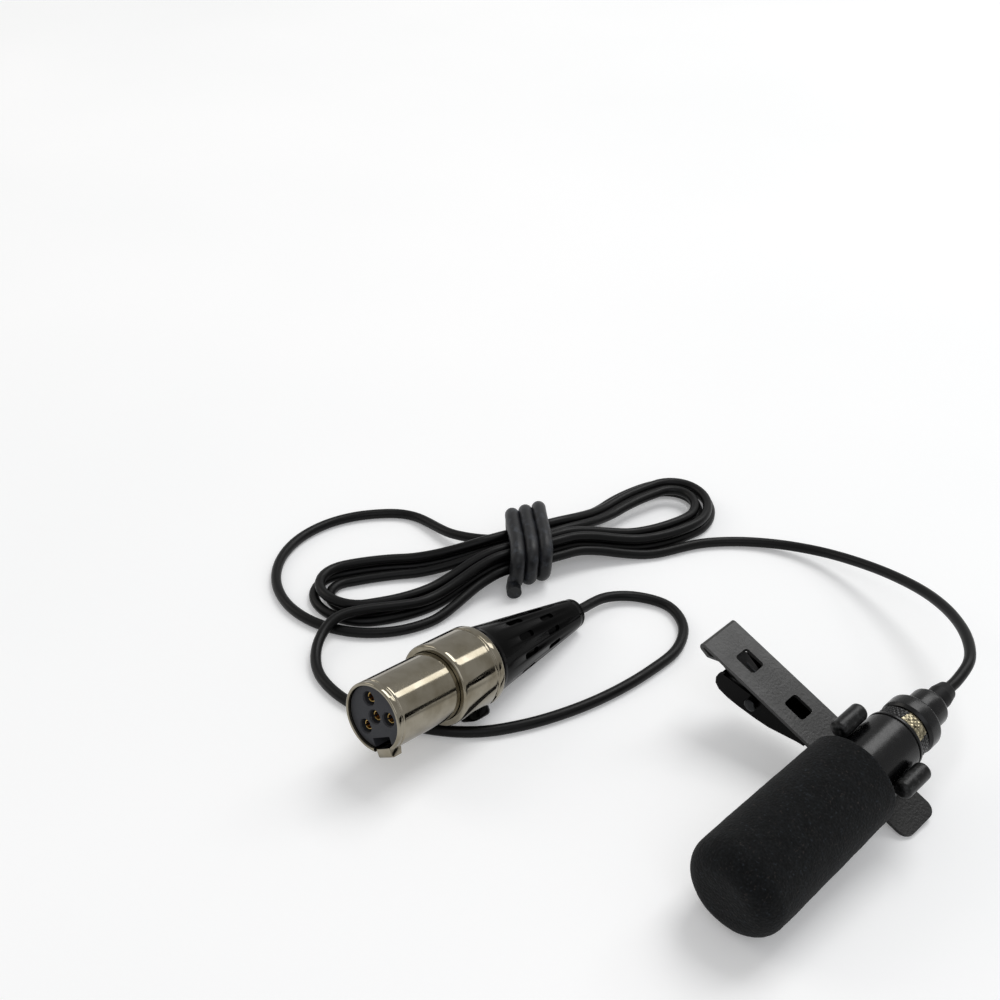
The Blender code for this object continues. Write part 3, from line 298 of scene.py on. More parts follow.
# Spin (along, radius, fillet) corners, in mm, round the Y line through at = (x, z).
def turned(corners, steps=96, segments=4, at=(0, 0)):
    bm = bmesh.new()
    onAxis = corners[0][1] == 0
    outline = [p * mm for p in filleted(corners, segments, not onAxis)]
    x, z = at[0] * mm, at[1] * mm
    ring = [bm.verts.new((x + p.y, p.x, z)) for p in outline]
    edges = [bm.edges.new(pair) for pair in zip(ring, ring[1:])]
    if not onAxis:
        edges.append(bm.edges.new((ring[-1], ring[0])))
    bmesh.ops.spin(bm, geom=ring + edges, axis=(0, 1, 0), cent=(x, 0, z), steps=steps,
                   angle=2 * pi, use_merge=True)
    bmesh.ops.remove_doubles(bm, verts=bm.verts, dist=1e-6)
    bmesh.ops.recalc_face_normals(bm, faces=bm.faces)
    return bm


# Extrude an outline in mm between two levels: (y, z) along X, (x, z) along Y or (x, y) along Z.
def extruded(outline, low, high, axis="Y"):
    bm = bmesh.new()
    order = {"X": (2, 0, 1), "Y": (0, 2, 1), "Z": (0, 1, 2)}[axis]
    face = bm.faces.new([bm.verts.new([(*p, low)[k] * mm for k in order]) for p in outline])
    grown = bmesh.ops.extrude_face_region(bm, geom=[face])["geom"]
    depth = (high - low) * mm
    bmesh.ops.translate(bm, verts=[v for v in grown if isinstance(v, bmesh.types.BMVert)],
                        vec=[depth if letter == axis else 0 for letter in "XYZ"])
    bmesh.ops.recalc_face_normals(bm, faces=bm.faces)
    return bm


def sharpEdges(bm, angle=50):
    return [e for e in bm.edges if len(e.link_faces) == 2 and e.calc_face_angle(0) > radians(angle)]


def bevelEdges(bm, edges, width, segments=2, material=-1):
    bmesh.ops.bevel(bm, geom=edges, offset=width * mm, offset_type="OFFSET", affect="EDGES",
                    segments=segments, profile=0.5, material=material, clamp_overlap=True)


# Take the tool's shape out of a mesh, or add it with UNION.
def cutBy(bm, tool, operation="DIFFERENCE"):
    holders = []
    for name, shape in (("work", bm), ("tool", tool)):
        mesh = bpy.data.meshes.new(name)
        shape.to_mesh(mesh)
        shape.free()
        holders.append(bpy.data.objects.new(name, mesh))
        bpy.context.collection.objects.link(holders[-1])
    step = holders[0].modifiers.new("cut", "BOOLEAN")
    step.operation = operation
    step.solver = "EXACT"
    step.object = holders[1]
    done = holders[0].evaluated_get(bpy.context.evaluated_depsgraph_get())
    result = bmesh.new()
    result.from_mesh(done.to_mesh())
    done.to_mesh_clear()
    for holder in holders:
        mesh = holder.data
        bpy.data.objects.remove(holder)
        bpy.data.meshes.remove(mesh)
    return result


def boxShape(low, high):
    bm = bmesh.new()
    bmesh.ops.create_cube(bm, size=1.0)
    bmesh.ops.scale(bm, verts=bm.verts, vec=[(h - l) * mm for l, h in zip(low, high)])
    bmesh.ops.translate(bm, verts=bm.verts, vec=[(l + h) / 2 * mm for l, h in zip(low, high)])
    return bm


# One mesh that holds several separate shapes.
def joined(shapes):
    whole = bmesh.new()
    for shape in shapes:
        mesh = bpy.data.meshes.new("part")
        shape.to_mesh(mesh)
        shape.free()
        whole.from_mesh(mesh)
        bpy.data.meshes.remove(mesh)
    return whole


# A CAD node's own shape with its edges broken.
def softenedCopy(name, node, width, coats, body, segments=2, angle=35):
    bm = bmesh.new()
    bm.from_mesh(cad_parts[node].data)
    bmesh.ops.remove_doubles(bm, verts=bm.verts, dist=1e-6)
    bmesh.ops.dissolve_limit(bm, angle_limit=radians(1), verts=bm.verts, edges=bm.edges)
    bevelEdges(bm, sharpEdges(bm, angle), width, segments, 1 if len(coats) > 1 else -1)
    return makePiece(name, bm, coats, body, (node,), None, 20)


# windscreen
# pores and dents are noise scales per metre; the rest is in mm
screenCfg = dict(mouth=-3.3, mouthRadius=6.35, lip=0.25, lipStep=0.12, chamfer=0.2, edge=-25.2, end=-28.5,
                 radius=6.6, bore=4.4, floor=-18.0, grain=0.26, swell=0.03,
                 pores=2600, poreDepth=0.035, dents=420, dentDepth=0.04, sink=0.03)


# A sleeve cut from foam: fine rows so that its skin can carry the torn cells.
def buildWindscreen(cfg):
    rim = cfg["edge"] - cfg["end"]
    rows = ceil(cfg["radius"] / cfg["grain"])
    profile = [(cfg["end"], (cfg["radius"] - rim) * i / rows) for i in range(rows)]
    turns = ceil(rim * pi / 2 / cfg["grain"])
    for i in range(turns):
        a = pi / 2 * i / turns
        profile.append((cfg["edge"] - rim * cos(a), cfg["radius"] - rim + rim * sin(a)))
    side = cfg["mouth"] - cfg["edge"]
    rows = ceil(side / cfg["grain"])
    for i in range(rows + 1):
        t = i / rows
        taper = cfg["radius"] + (cfg["mouthRadius"] - cfg["radius"]) * t
        profile.append((cfg["edge"] + side * t - (0.0 if t < 1 else cfg["lipStep"]),
                        taper + cfg["swell"] * 4 * t * (1 - t)))
    profile += [(cfg["mouth"], cfg["mouthRadius"] - cfg["lip"]),
                (cfg["mouth"], cfg["bore"] + cfg["chamfer"]), (cfg["mouth"] - cfg["chamfer"], cfg["bore"]),
                (cfg["floor"], cfg["bore"]), (cfg["floor"], 0.0)]
    bm = bmesh.new()
    ring = [bm.verts.new((r * mm, y * mm, 0)) for y, r in profile]
    edges = [bm.edges.new(pair) for pair in zip(ring, ring[1:])]
    bmesh.ops.spin(bm, geom=ring + edges, axis=(0, 1, 0), cent=(0, 0, 0),
                   steps=round(2 * pi * cfg["radius"] / cfg["grain"]), angle=2 * pi, use_merge=True)
    bmesh.ops.remove_doubles(bm, verts=bm.verts, dist=1e-6)
    bmesh.ops.recalc_face_normals(bm, faces=bm.faces)
    bm.normal_update()
    for v in bm.verts:  # the bore keeps its cut size
        if hypot(v.co.x, v.co.z) < (cfg["bore"] + 0.05) * mm and v.co.y > (cfg["floor"] - 0.1) * mm:
            continue
        pore = noise.noise(v.co * cfg["pores"]) * 0.6 + noise.noise(v.co * cfg["pores"] * 2) * 0.4
        dent = noise.noise(v.co * cfg["dents"])
        v.co += v.normal * (pore * cfg["poreDepth"] + dent * cfg["dentDepth"] - cfg["sink"]) * mm
    return bm


windscreen = makePiece("windscreen_foam", buildWindscreen(screenCfg), [foam], "foam",
                       ("windscreen",), head, 180)
print("windscreen")

# microphone head, turned from (along, radius, fillet) corners in mm
bodyCorners = [(-15, 3.5, 0), (-15, 4.1, 0.15), (-3, 4.1, 0), (-3, 4.6, 0.2), (-2.1, 4.6, 0.2),
               (-2.1, 4.0, 0.08), (-1.8, 4.0, 0.08), (-1.8, 4.15, 0.12), (-1.4, 4.15, 0), (5.0, 4.15, 0),
               (5.22, 4.15, 0.06), (5.26, 3.97, 0.03), (5.5, 3.97, 0.03), (5.54, 4.17, 0.1), (6, 4.17, 0.16),
               (6, 3.5, 0.06)]
makePiece("body_tube", turned(bodyCorners), [satin], "microphone", ("mic_body",), head)

capCorners = [(8.3, 3.35, 0.05), (8.3, 3.6, 0.1), (8.75, 3.9, 0.2), (10.8, 3.9, 0.4), (10.8, 2.2, 0.1),
              (10.25, 2.2, 0), (10.25, 3.35, 0)]
makePiece("cap_ring", turned(capCorners), [satin], "microphone", ("rear_cap",), head)

nutCorners = [(10.0, 1.35, 0), (10.0, 1.9, 0), (11.1, 1.9, 0), (11.1, 2.7, 0.15), (14.5, 2.7, 0.6),
              (14.5, 1.35, 0.15)]
makePiece("cord_nut", turned(nutCorners), [satin], "microphone", ("gland_nut",), head)

reliefCorners = [(12.0, 0, 0), (12.0, 1.1, 0), (14.8, 1.1, 0), (14.8, 1.62, 0.2), (16.6, 1.66, 0.5),
                 (18.3, 1.3, 0.3), (18.3, 0, 0)]
makePiece("cord_relief", turned(reliefCorners, 72, 6), [gripRubber], "microphone",
          ("strain_relief",), head)

# the middle, half-width and fray entries say in degrees where the band shows nickel; the black finish over
# the rest of the band is painted shade, standing in for the shadow under the cap's overhang
collarCfg = dict(front=0.0, band=6.3, bandEnd=8.0, end=9.9, bore=2.0, spigot=3.4, radius=3.8, brim=0.12,
                 rows=16, ridges=40, slant=0.22, depth=0.16, thread=3.05, pitch=0.5, threadDepth=0.2,
                 nickelMiddle=78, nickelHalf=28, fray=14, frayScale=900)


# Knurled band and screw thread on one turned collar.
def buildCollar(cfg):
    rows = cfg["rows"]
    profile = [(cfg["front"], cfg["bore"]), (cfg["front"], cfg["spigot"]), (cfg["band"], cfg["spigot"])]
    span = cfg["bandEnd"] - cfg["band"]
    profile += [(cfg["band"] + span * i / rows, cfg["radius"] - (cfg["brim"] if i in (0, rows) else 0))
                for i in range(rows + 1)]
    root = cfg["thread"] - cfg["threadDepth"]
    threads = round((cfg["end"] - cfg["bandEnd"]) / cfg["pitch"])
    for i in range(threads):
        low = cfg["bandEnd"] + i * cfg["pitch"]
        profile += [(low + 0.03, root), (low + 0.5 * cfg["pitch"], cfg["thread"])]
    profile += [(cfg["end"], root), (cfg["end"], cfg["bore"])]
    bm = turned([(y, r, 0) for y, r in profile], 240)
    for v in bm.verts:
        size = hypot(v.co.x, v.co.z) / mm
        if size > cfg["spigot"] + 0.1:
            turn = atan2(v.co.z, v.co.x)
            along = (v.co.y / mm - cfg["band"]) * cfg["slant"]
            waves = [abs(((turn + side * along) * cfg["ridges"] / (2 * pi)) % 1 - 0.5) * 2
                     for side in (1, -1)]
            keep = 1 - cfg["depth"] * max(waves) ** 2 / size
            v.co.x *= keep
            v.co.z *= keep
    for face in bm.faces:
        spot = face.calc_center_median()
        if abs(spot.y / mm - (cfg["band"] + cfg["bandEnd"]) / 2) < span / 2 + 0.05:
            fray = noise.noise(spot * cfg["frayScale"]) * cfg["fray"]
            away = abs(degrees(atan2(spot.z, spot.x)) - cfg["nickelMiddle"]) + fray
            # band faces outside the nickel patch take the black satin as painted shade
            face.material_index = 1 if away > cfg["nickelHalf"] else 0
    return bm


makePiece("knurled_collar", buildCollar(collarCfg), [knurlNickel, satin], "microphone",
          ("threaded_collar",), head, 60)
print("microphone head")

# cradle
cradleCfg = dict(inner=4.45, outer=5.05, bead=1.25, beadAt=5.72, angle=26.0, front=-1.7, length=5.7,
                 beadFront=-1.5, beadRear=3.7, beadRound=0.8, rivetY=3.3, rivetHole=1.2, edge=0.12)


def arcPoints(centre, radius, start, end, steps):
    return [(centre[0] + radius * cos(radians(start + (end - start) * i / steps)),
             centre[1] + radius * sin(radians(start + (end - start) * i / steps))) for i in range(steps + 1)]


# A C round the body, its lips carrying one round-ended bead each.
def buildCradle(cfg):
    lip = cfg["angle"]
    outline = arcPoints((0, 0), cfg["outer"], -180 - lip, lip, 72)
    outline += arcPoints((0, 0), cfg["inner"], lip, -180 - lip, 72)
    bm = extruded(outline, cfg["front"], cfg["front"] + cfg["length"])
    bm = cutBy(bm, extruded(arcPoints((0, cfg["rivetY"]), cfg["rivetHole"], 0, 352.5, 47), -6, -4, "Z"))
    bevelEdges(bm, sharpEdges(bm, 60), cfg["edge"])
    for side in (1, -1):
        at = (side * cfg["beadAt"] * cos(radians(lip)), cfg["beadAt"] * sin(radians(lip)))
        ends = [(cfg["beadFront"], 0, 0), (cfg["beadFront"], cfg["bead"], cfg["beadRound"]),
                (cfg["beadRear"], cfg["bead"], cfg["beadRound"]), (cfg["beadRear"], 0, 0)]
        bm = cutBy(bm, turned(ends, 56, 8, at), "UNION")
    return bm


makePiece("body_cradle", buildCradle(cradleCfg), [cradleCoat], "clip",
          ("mic_holder",), head, 40)

# clip strap, cut as a flat blank (u along, v across) and bent up round the fold and the pivot pin
strapCfg = dict(sheet=0.55, width=6.6, tab=9.5, foldX=-25.725, foldZ=-6.025, foldRadius=0.4, middle=-5.625,
                slope=15.0, pivotX=-16.3, pivotZ=-7.903, curl=1.025, curlTurn=275.0, corner=1.6,
                wideEnd=-23.1, shoulder=1.6, legEnd=-18.81, leg=(1.25, 5.35), knuckle=(4.31, 5.35),
                windows=(-11.6, -20.4), windowLength=3.3, windowWidth=2.5, windowCorner=0.5,
                rivetHole=1.2, edge=0.07)


def buildStrap(cfg):
    slope = radians(cfg["slope"])
    flat = cfg["tab"] - cfg["foldX"]
    fold = cfg["foldRadius"] * (pi - slope)
    foldTurn = 3 * pi / 2 - slope
    legStart = Vector((cfg["foldX"] + cfg["foldRadius"] * cos(foldTurn),
                       cfg["foldZ"] + cfg["foldRadius"] * sin(foldTurn)))
    pivot = Vector((cfg["pivotX"], cfg["pivotZ"]))
    curlStart = pivot + cfg["curl"] * Vector((cos(foldTurn), sin(foldTurn)))
    leg = (curlStart - legStart).length
    curl = cfg["curl"] * radians(cfg["curlTurn"])
    total = flat + fold + leg + curl
    wide, narrow = [flat + fold + (cfg[k] - legStart.x) / cos(slope) for k in ("wideEnd", "legEnd")]
    corners = [(0, 0, cfg["corner"]), (wide - cfg["shoulder"], 0, 0.5), (wide, cfg["leg"][0], 0.4),
               (narrow, cfg["leg"][0], 0.3), (narrow, cfg["knuckle"][0], 0.2),
               (total, cfg["knuckle"][0], 0.05), (total, cfg["knuckle"][1], 0.05), (wide, cfg["leg"][1], 0.4),
               (wide - cfg["shoulder"], cfg["width"], 0.5), (0, cfg["width"], cfg["corner"])]
    loops = [filleted(corners, 8)]
    middle = cfg["width"] / 2
    for x in cfg["windows"]:
        u = cfg["tab"] - x
        du, dv = cfg["windowLength"] / 2, cfg["windowWidth"] / 2
        loops.append(filleted([(u + a * du, middle + b * dv, cfg["windowCorner"])
                               for a, b in ((-1, -1), (1, -1), (1, 1), (-1, 1))], 6))
    loops.append([Vector(p) for p in arcPoints((cfg["tab"], middle), cfg["rivetHole"], 0, 350, 35)])
    bm = bmesh.new()
    for loop in loops:
        ring = [bm.verts.new((p[0], p[1], -cfg["sheet"] / 2)) for p in loop]
        for pair in zip(ring, ring[1:] + ring[:1]):
            bm.edges.new(pair)
    bmesh.ops.triangle_fill(bm, use_beauty=True, use_dissolve=False, edges=bm.edges[:])
    bendLines = [flat + fold * i / 14 for i in range(15)] + [total - curl + curl * i / 40 for i in range(40)]
    for u in bendLines:
        bmesh.ops.bisect_plane(bm, geom=bm.verts[:] + bm.edges[:] + bm.faces[:], dist=1e-5,
                               plane_co=(u, 0, 0), plane_no=(1, 0, 0))
    grown = bmesh.ops.extrude_face_region(bm, geom=bm.faces[:])["geom"]
    bmesh.ops.translate(bm, verts=[v for v in grown if isinstance(v, bmesh.types.BMVert)],
                        vec=(0, 0, cfg["sheet"]))
    bmesh.ops.recalc_face_normals(bm, faces=bm.faces)
    bmesh.ops.bevel(bm, geom=sharpEdges(bm, 60), offset=cfg["edge"], affect="EDGES", segments=2, profile=0.5,
                    material=1, clamp_overlap=True)
    for v in bm.verts:
        u, across, w = v.co
        if u < flat:
            x, z = cfg["tab"] - u, cfg["middle"] - w
        elif u < flat + fold:
            turn = pi / 2 + (u - flat) / cfg["foldRadius"]
            x = cfg["foldX"] + (cfg["foldRadius"] - w) * cos(turn)
            z = cfg["foldZ"] + (cfg["foldRadius"] - w) * sin(turn)
        elif u < flat + fold + leg:
            run = u - flat - fold
            x = legStart.x + run * cos(slope) + w * sin(slope)
            z = legStart.y - run * sin(slope) + w * cos(slope)
        else:
            turn = foldTurn + (u - flat - fold - leg) / cfg["curl"]
            x = pivot.x + (cfg["curl"] - w) * cos(turn)
            z = pivot.y + (cfg["curl"] - w) * sin(turn)
        v.co = Vector((x, across, z)) * mm
    bmesh.ops.recalc_face_normals(bm, faces=bm.faces)
    return bm


makePiece("bent_strap", buildStrap(strapCfg), [enamel, edgeWearAndHighlight], "clip",
          ("clip_strap",), head, 20)
softenedCopy("pressed_lever", "clip_lever", 0.07, [rubbedEnamel, edgeWearAndHighlight], "lever")

# pin and spring
pivotX, pivotZ = strapCfg["pivotX"], strapCfg["pivotZ"]
pinCorners = [(-0.35, 0, 0), (-0.35, 0.9, 0.3), (0.05, 0.9, 0.05), (0.05, 0.45, 0), (6.55, 0.45, 0),
              (6.55, 0.9, 0.05), (6.95, 0.9, 0.3), (6.95, 0, 0)]
makePiece("peened_pin", turned(pinCorners, 40, 4, (pivotX, pivotZ)), [springSteel], "clip",
          ("pivot_pin",), head)

springCfg = dict(wire=0.36, radius=1.25, turns=3, pitch=0.8, firstY=1.48, enter=-80.55, leave=806.48,
                 lower=(-20.5, -9.87), upper=(-20.7, -6.38), leverSide=1.66, strapSide=3.3)


# A round wire along a path, both given in mm.
def swept(points, radius, sides=12):
    curve = bpy.data.curves.new("wire", "CURVE")
    curve.dimensions = "3D"
    curve.bevel_depth = radius * mm
    curve.bevel_resolution = sides // 2 - 1
    curve.use_fill_caps = True
    line = curve.splines.new("POLY")
    line.points.add(len(points) - 1)
    for knot, place in zip(line.points, points):
        knot.co = (*(Vector(place) * mm), 1.0)
    holder = bpy.data.objects.new("wire", curve)
    bpy.context.collection.objects.link(holder)
    done = holder.evaluated_get(bpy.context.evaluated_depsgraph_get())
    bm = bmesh.new()
    bm.from_mesh(done.to_mesh())
    done.to_mesh_clear()
    bpy.data.objects.remove(holder)
    bpy.data.curves.remove(curve)
    bmesh.ops.remove_doubles(bm, verts=bm.verts, dist=1e-6)
    bmesh.ops.recalc_face_normals(bm, faces=bm.faces)
    return bm


def buildSpring(cfg):
    points = [(cfg["lower"][0], cfg["firstY"], cfg["lower"][1])]
    steps = 36 * cfg["turns"]
    for i in range(steps + 1):
        turn = cfg["enter"] + (cfg["leave"] - cfg["enter"]) * i / steps
        points.append((pivotX + cfg["radius"] * cos(radians(turn)),
                       cfg["firstY"] + cfg["pitch"] * (turn - cfg["enter"]) / 360,
                       pivotZ + cfg["radius"] * sin(radians(turn))))
    points.append((cfg["upper"][0], points[-1][1], cfg["upper"][1]))
    return swept(points, cfg["wire"] / 2)


spring = makePiece("wound_spring", buildSpring(springCfg), [springSteel], None,
                   ("clip_spring",), head, 60)
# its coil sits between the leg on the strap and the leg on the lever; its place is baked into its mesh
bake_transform(spring)

rivetCorners = [(-5.9, 0, 0), (-5.9, 0.86, 0.1), (-4.6, 0.86, 0.1), (-4.6, 0, 0)]
rivetShape = turned(rivetCorners, 32, 3)
bmesh.ops.rotate(rivetShape, verts=rivetShape.verts, cent=(0, 0, 0),
                 matrix=Matrix.Rotation(radians(90), 3, "X"))
bmesh.ops.translate(rivetShape, verts=rivetShape.verts, vec=(0, cradleCfg["rivetY"] * mm, 0))
makePiece("tab_rivet", rivetShape, [springSteel], "clip", ("holder_rivet",), head)
print("clip")

# plug: three contacts stand on a circle round the fourth, and the latch runs in a slot along the top
plugCfg = dict(circle=2.5, angles=(270, 167, 26), split=0.12, slotHalf=1.6, slotFloor=2.8, slotRear=19.8,
               slotTop=8.0, gateHalf=2.1, gateFloor=3.6, gateFront=15.2, latchHalf=1.3, buttonHalf=1.8)


# A slot seen from above, as a cutter.
def cutLoop(halfWidth, front, rear, corner, low, high):
    return extruded(filleted([(-halfWidth, front, corner), (halfWidth, front, corner),
                              (halfWidth, rear, corner), (-halfWidth, rear, corner)], 5), low, high, "Z")


# corners without a fillet near one that has it keep the long walls straight in the light
barrelCorners = [(0, 4.4, 0.1), (0, 4.85, 0.28), (0.78, 4.85, 0.1), (0.86, 4.7, 0.05), (1.06, 4.7, 0.05),
                 (1.16, 4.85, 0.1), (1.4, 4.85, 0), (16.7, 4.85, 0), (17, 4.85, 0.1), (17, 4.4, 0.05)]
latchSlot = (plugCfg["slotHalf"], -1.0, plugCfg["slotRear"], 0.3, plugCfg["slotFloor"], plugCfg["slotTop"])
barrel = cutBy(turned(barrelCorners, 128), cutLoop(*latchSlot))
makePiece("shell_barrel", barrel, [nickel], "microphone", ("plug_barrel",), plug, 30)

gripCorners = [(11.7, 4.92, 0.06), (11.7, 5.8, 0.4), (12.6, 5.8, 0), (18.0, 5.8, 0), (18.28, 5.8, 0.08),
               (18.36, 5.62, 0.06), (18.78, 5.62, 0.06), (18.86, 5.8, 0.08), (19.3, 5.8, 0), (20.0, 5.8, 0.3),
               (20.0, 4.92, 0.06)]
gate = cutLoop(plugCfg["gateHalf"], plugCfg["gateFront"], 21.0, 0.5, plugCfg["gateFloor"], plugCfg["slotTop"])
makePiece("shell_grip", cutBy(turned(gripCorners, 128), gate), [nickel], "microphone",
          ("plug_grip",), plug, 30)

insertCorners = [(0.45, 0, 0), (0.45, 4.34, 0.12), (11.0, 4.34, 0.1), (11.0, 0, 0)]
places = [(0, 0)] + [(plugCfg["circle"] * cos(radians(a)), plugCfg["circle"] * sin(radians(a)))
                     for a in plugCfg["angles"]]
holes = joined([turned([(-0.4, 0, 0), (-0.4, 1.05, 0), (0.5, 1.05, 0), (0.64, 0.95, 0), (12.0, 0.95, 0),
                        (12.0, 0, 0)], 36, 2, place) for place in places])
insert = cutBy(cutBy(turned(insertCorners, 96), holes), cutLoop(*latchSlot))
makePiece("contact_block", insert, [insertNylon], "microphone", ("plug_insert",), plug, 30)

socketCorners = [(8.0, 0, 0), (8.0, 0.52, 0), (1.0, 0.52, 0.06), (1.0, 0.72, 0.08), (11.0, 0.72, 0.02),
                 (11.0, 0.45, 0.02), (12.6, 0.45, 0.06), (12.6, 0, 0)]
for i, place in enumerate(places, 1):
    split = boxShape((place[0] - 1, 0.5, place[1] - plugCfg["split"]),
                     (place[0] + 1, 4.4, place[1] + plugCfg["split"]))
    makePiece(f"socket_{i}", cutBy(turned(socketCorners, 28, 2, place), split), [gold], "microphone",
              (f"contact_{i}",), plug, 40)

latchOutline = [(0.15, 4.25), (19.5, 4.25), (19.5, 4.65), (2.2, 4.65), (1.9, 5.6), (0.45, 5.6), (0.15, 5.35)]
latch = extruded(latchOutline, -plugCfg["latchHalf"], plugCfg["latchHalf"], "X")
bevelEdges(latch, sharpEdges(latch, 20), 0.1, 3)
makePiece("latch_bar", latch, [nickel], "latch", ("plug_latch",), plug, 40)

button = boxShape((-plugCfg["buttonHalf"], 15.5, 4.95), (plugCfg["buttonHalf"], 19.3, 6.8))
upright = [e for e in button.edges if abs(e.verts[0].co.z - e.verts[1].co.z) > mm]
bevelEdges(button, upright, 1.1, 5)
bevelEdges(button, [e for e in sharpEdges(button, 60) if min(v.co.z for v in e.verts) > 6 * mm], 0.55, 4)
makePiece("release_button", button, [glossBlack], "latch", ("latch_button",), plug, 40)

# rows holds each ring of slots: where it starts, its length, half its width and its shift in pitches
bootCfg = dict(front=20.3, rear=43.0, radius=5.2, tip=2.3, slots=10, depth=0.55, rim=0.1,
               rows=((26.0, 3.4, 0.46, 0.0), (32.6, 3.0, 0.4, 0.5)))


def bootRadius(y):
    return bootCfg["radius"] + (bootCfg["tip"] - bootCfg["radius"]) * (y - bootCfg["front"]) / (
        bootCfg["rear"] - bootCfg["front"])


def buildBoot(cfg):
    corners = [(20.0, 0, 0), (20.0, 4.15, 0), (17.4, 4.15, 0), (17.4, 4.85, 0.1), (20.3, 4.85, 0),
               (20.3, 5.15, 0.1), (20.75, 5.22, 0.3), (21.4, 5.06, 0.4), (22.4, bootRadius(22.4), 0),
               (40.6, bootRadius(40.6), 0), (41.6, bootRadius(41.6), 0.5), (42.3, 2.3, 0.3), (43.0, 2.3, 0.3),
               (43.0, 1.0, 0.1), (42.6, 0, 0)]
    cuts = []
    for start, length, half, shift in cfg["rows"]:
        for i in range(cfg["slots"]):
            turn = 2 * pi * (i + shift) / cfg["slots"]
            middle = bootRadius(start + length / 2)
            slot = cutLoop(half, start, start + length, half * 0.95, middle - cfg["depth"], middle + 2)
            bmesh.ops.rotate(slot, verts=slot.verts, cent=(0, 0, 0), matrix=Matrix.Rotation(turn, 3, "Y"))
            cuts.append(slot)
    cuts.append(cutLoop(*latchSlot))
    bm = cutBy(turned(corners, 120, 5), joined(cuts))
    rims = [e for e in sharpEdges(bm, 50) if e.is_convex and min(v.co.y for v in e.verts) > 25.5 * mm
            and max(v.co.y for v in e.verts) < 37 * mm]
    bevelEdges(bm, rims, cfg["rim"])
    return bm


makePiece("moulded_boot", buildBoot(bootCfg), [glossBlack], "microphone",
          ("plug_boot",), plug, 30)
print("plug")

# numerals moulded beside the contacts
digitCfg = dict(size=1.0, proud=0.04, face=0.6,
                offsets=((1.35, 0.9), (1.25, 0.35), (-0.1, 1.25), (-1.3, -0.9)))
digits = []
for number, place, offset in zip("1234", places, digitCfg["offsets"]):
    text = bpy.data.curves.new("digit", "FONT")
    text.body = number
    text.size = digitCfg["size"] * mm
    text.extrude = digitCfg["proud"] * mm
    text.align_x = "CENTER"
    text.align_y = "CENTER"
    holder = bpy.data.objects.new("digit", text)
    bpy.context.collection.objects.link(holder)
    done = holder.evaluated_get(bpy.context.evaluated_depsgraph_get())
    digit = bmesh.new()
    digit.from_mesh(done.to_mesh())
    done.to_mesh_clear()
    bpy.data.objects.remove(holder)
    bpy.data.curves.remove(text)
    bmesh.ops.remove_doubles(digit, verts=digit.verts, dist=1e-7)
    stand = Matrix.Rotation(radians(90), 4, "X")
    upright = Matrix.Rotation(radians(plugPlace["roll"]), 4, "Y")
    spot = Matrix.Translation(Vector((place[0] + offset[0], digitCfg["face"], place[1] + offset[1])) * mm)
    bmesh.ops.transform(digit, matrix=spot @ upright.inverted() @ stand, verts=digit.verts)
    digits.append(digit)
makePiece("contact_numerals", joined(digits), [insertNylon], "microphone", (), plug, 30)

# free cord, hank and tie: the strands narrow to the waist and rise there, one run of them turns back
# early as the stray loop, and runs holds each strand's order and layer (None climbs between layers)
cordCfg = dict(radius=0.8, half=33.0, endHalf=4.93, pitch=2.3, layer=1.66, waist=1.24, waistPitch=1.65,
               bow=0.0028, lift=2.42, narrowAt=6, narrowOver=19, raisedAt=5, raisedOver=14, foldSteps=12,
               strayReach=15.4, strayX=-23.0, strayY=6.6, strayStart=-12, strayBack=-4, strayShrink=0.0004,
               joinX=20.0, leaveX=-21.0)
runs = [(2, 0), (1.5, 0), (1, 0), (0.5, 0), (0, 0), (-0.5, None), (0, 1), (0.5, 1), (1, 1)]
micPoints = [(8.9, 31.0, 11.0), (6.2, 35.4, 10.7), (1.4, 40.2, 9.6), (-4.8, 44.3, 8.0), (-12.4, 47.4, 5.9),
             (-20.4, 49.2, 3.7), (-27.2, 49.3, 2.1), (-33.4, 47.3, 1.2), (-38.6, 43.6, 0.85),
             (-42.4, 38.8, 0.8)]
plugPoints = [(-42.6, 15.6, 1.4), (-40.0, 19.6, 1.0), (-35.2, 21.7, 0.8), (-30.4, 19.6, 0.8),
              (-27.4, 14.6, 0.8), (-26.8, 8.0, 0.8), (-27.2, 0.6, 0.8), (-28.6, -6.6, 0.8),
              (-31.0, -13.4, 0.8), (-34.4, -19.2, 0.8), (-39.4, -23.6, 0.8), (-46.0, -26.8, 0.8),
              (-53.2, -28.2, 0.8), (-59.6, -27.0, 0.9), (-64.0, -23.2, 1.7), (-65.4, -18.4, 2.7)]


def ease(t):
    t = max(0.0, min(1.0, t))
    return t * t * (3 - 2 * t)


# One point of a run, in mm: side -1 is the near one, order counts pitches out.
def hankPoint(x, side, order, level):
    opened = ease((abs(x) - cordCfg["narrowAt"]) / cordCfg["narrowOver"])
    waist = cordCfg["waist"] + cordCfg["waistPitch"] * order
    end = cordCfg["endHalf"] + cordCfg["pitch"] * order
    raised = 1 - ease((abs(x) - cordCfg["raisedAt"]) / cordCfg["raisedOver"])
    return Vector((x, side * (waist + (end - waist) * opened) + cordCfg["bow"] * x * x,
                   cordCfg["radius"] + level * cordCfg["layer"] + cordCfg["lift"] * raised))


def hankFold(side, orderIn, orderOut, level):
    points = []
    for i in range(1, cordCfg["foldSteps"]):
        part = i / cordCfg["foldSteps"]
        order = orderIn + (orderOut - orderIn) * part
        radius = cordCfg["endHalf"] + cordCfg["pitch"] * order
        centre = cordCfg["half"] + cordCfg["pitch"] * order - radius
        x = side * (centre + radius * sin(pi * part))
        points.append(Vector((x, side * radius * cos(pi * part) + cordCfg["bow"] * x * x,
                              cordCfg["radius"] + level * cordCfg["layer"])))
    return points


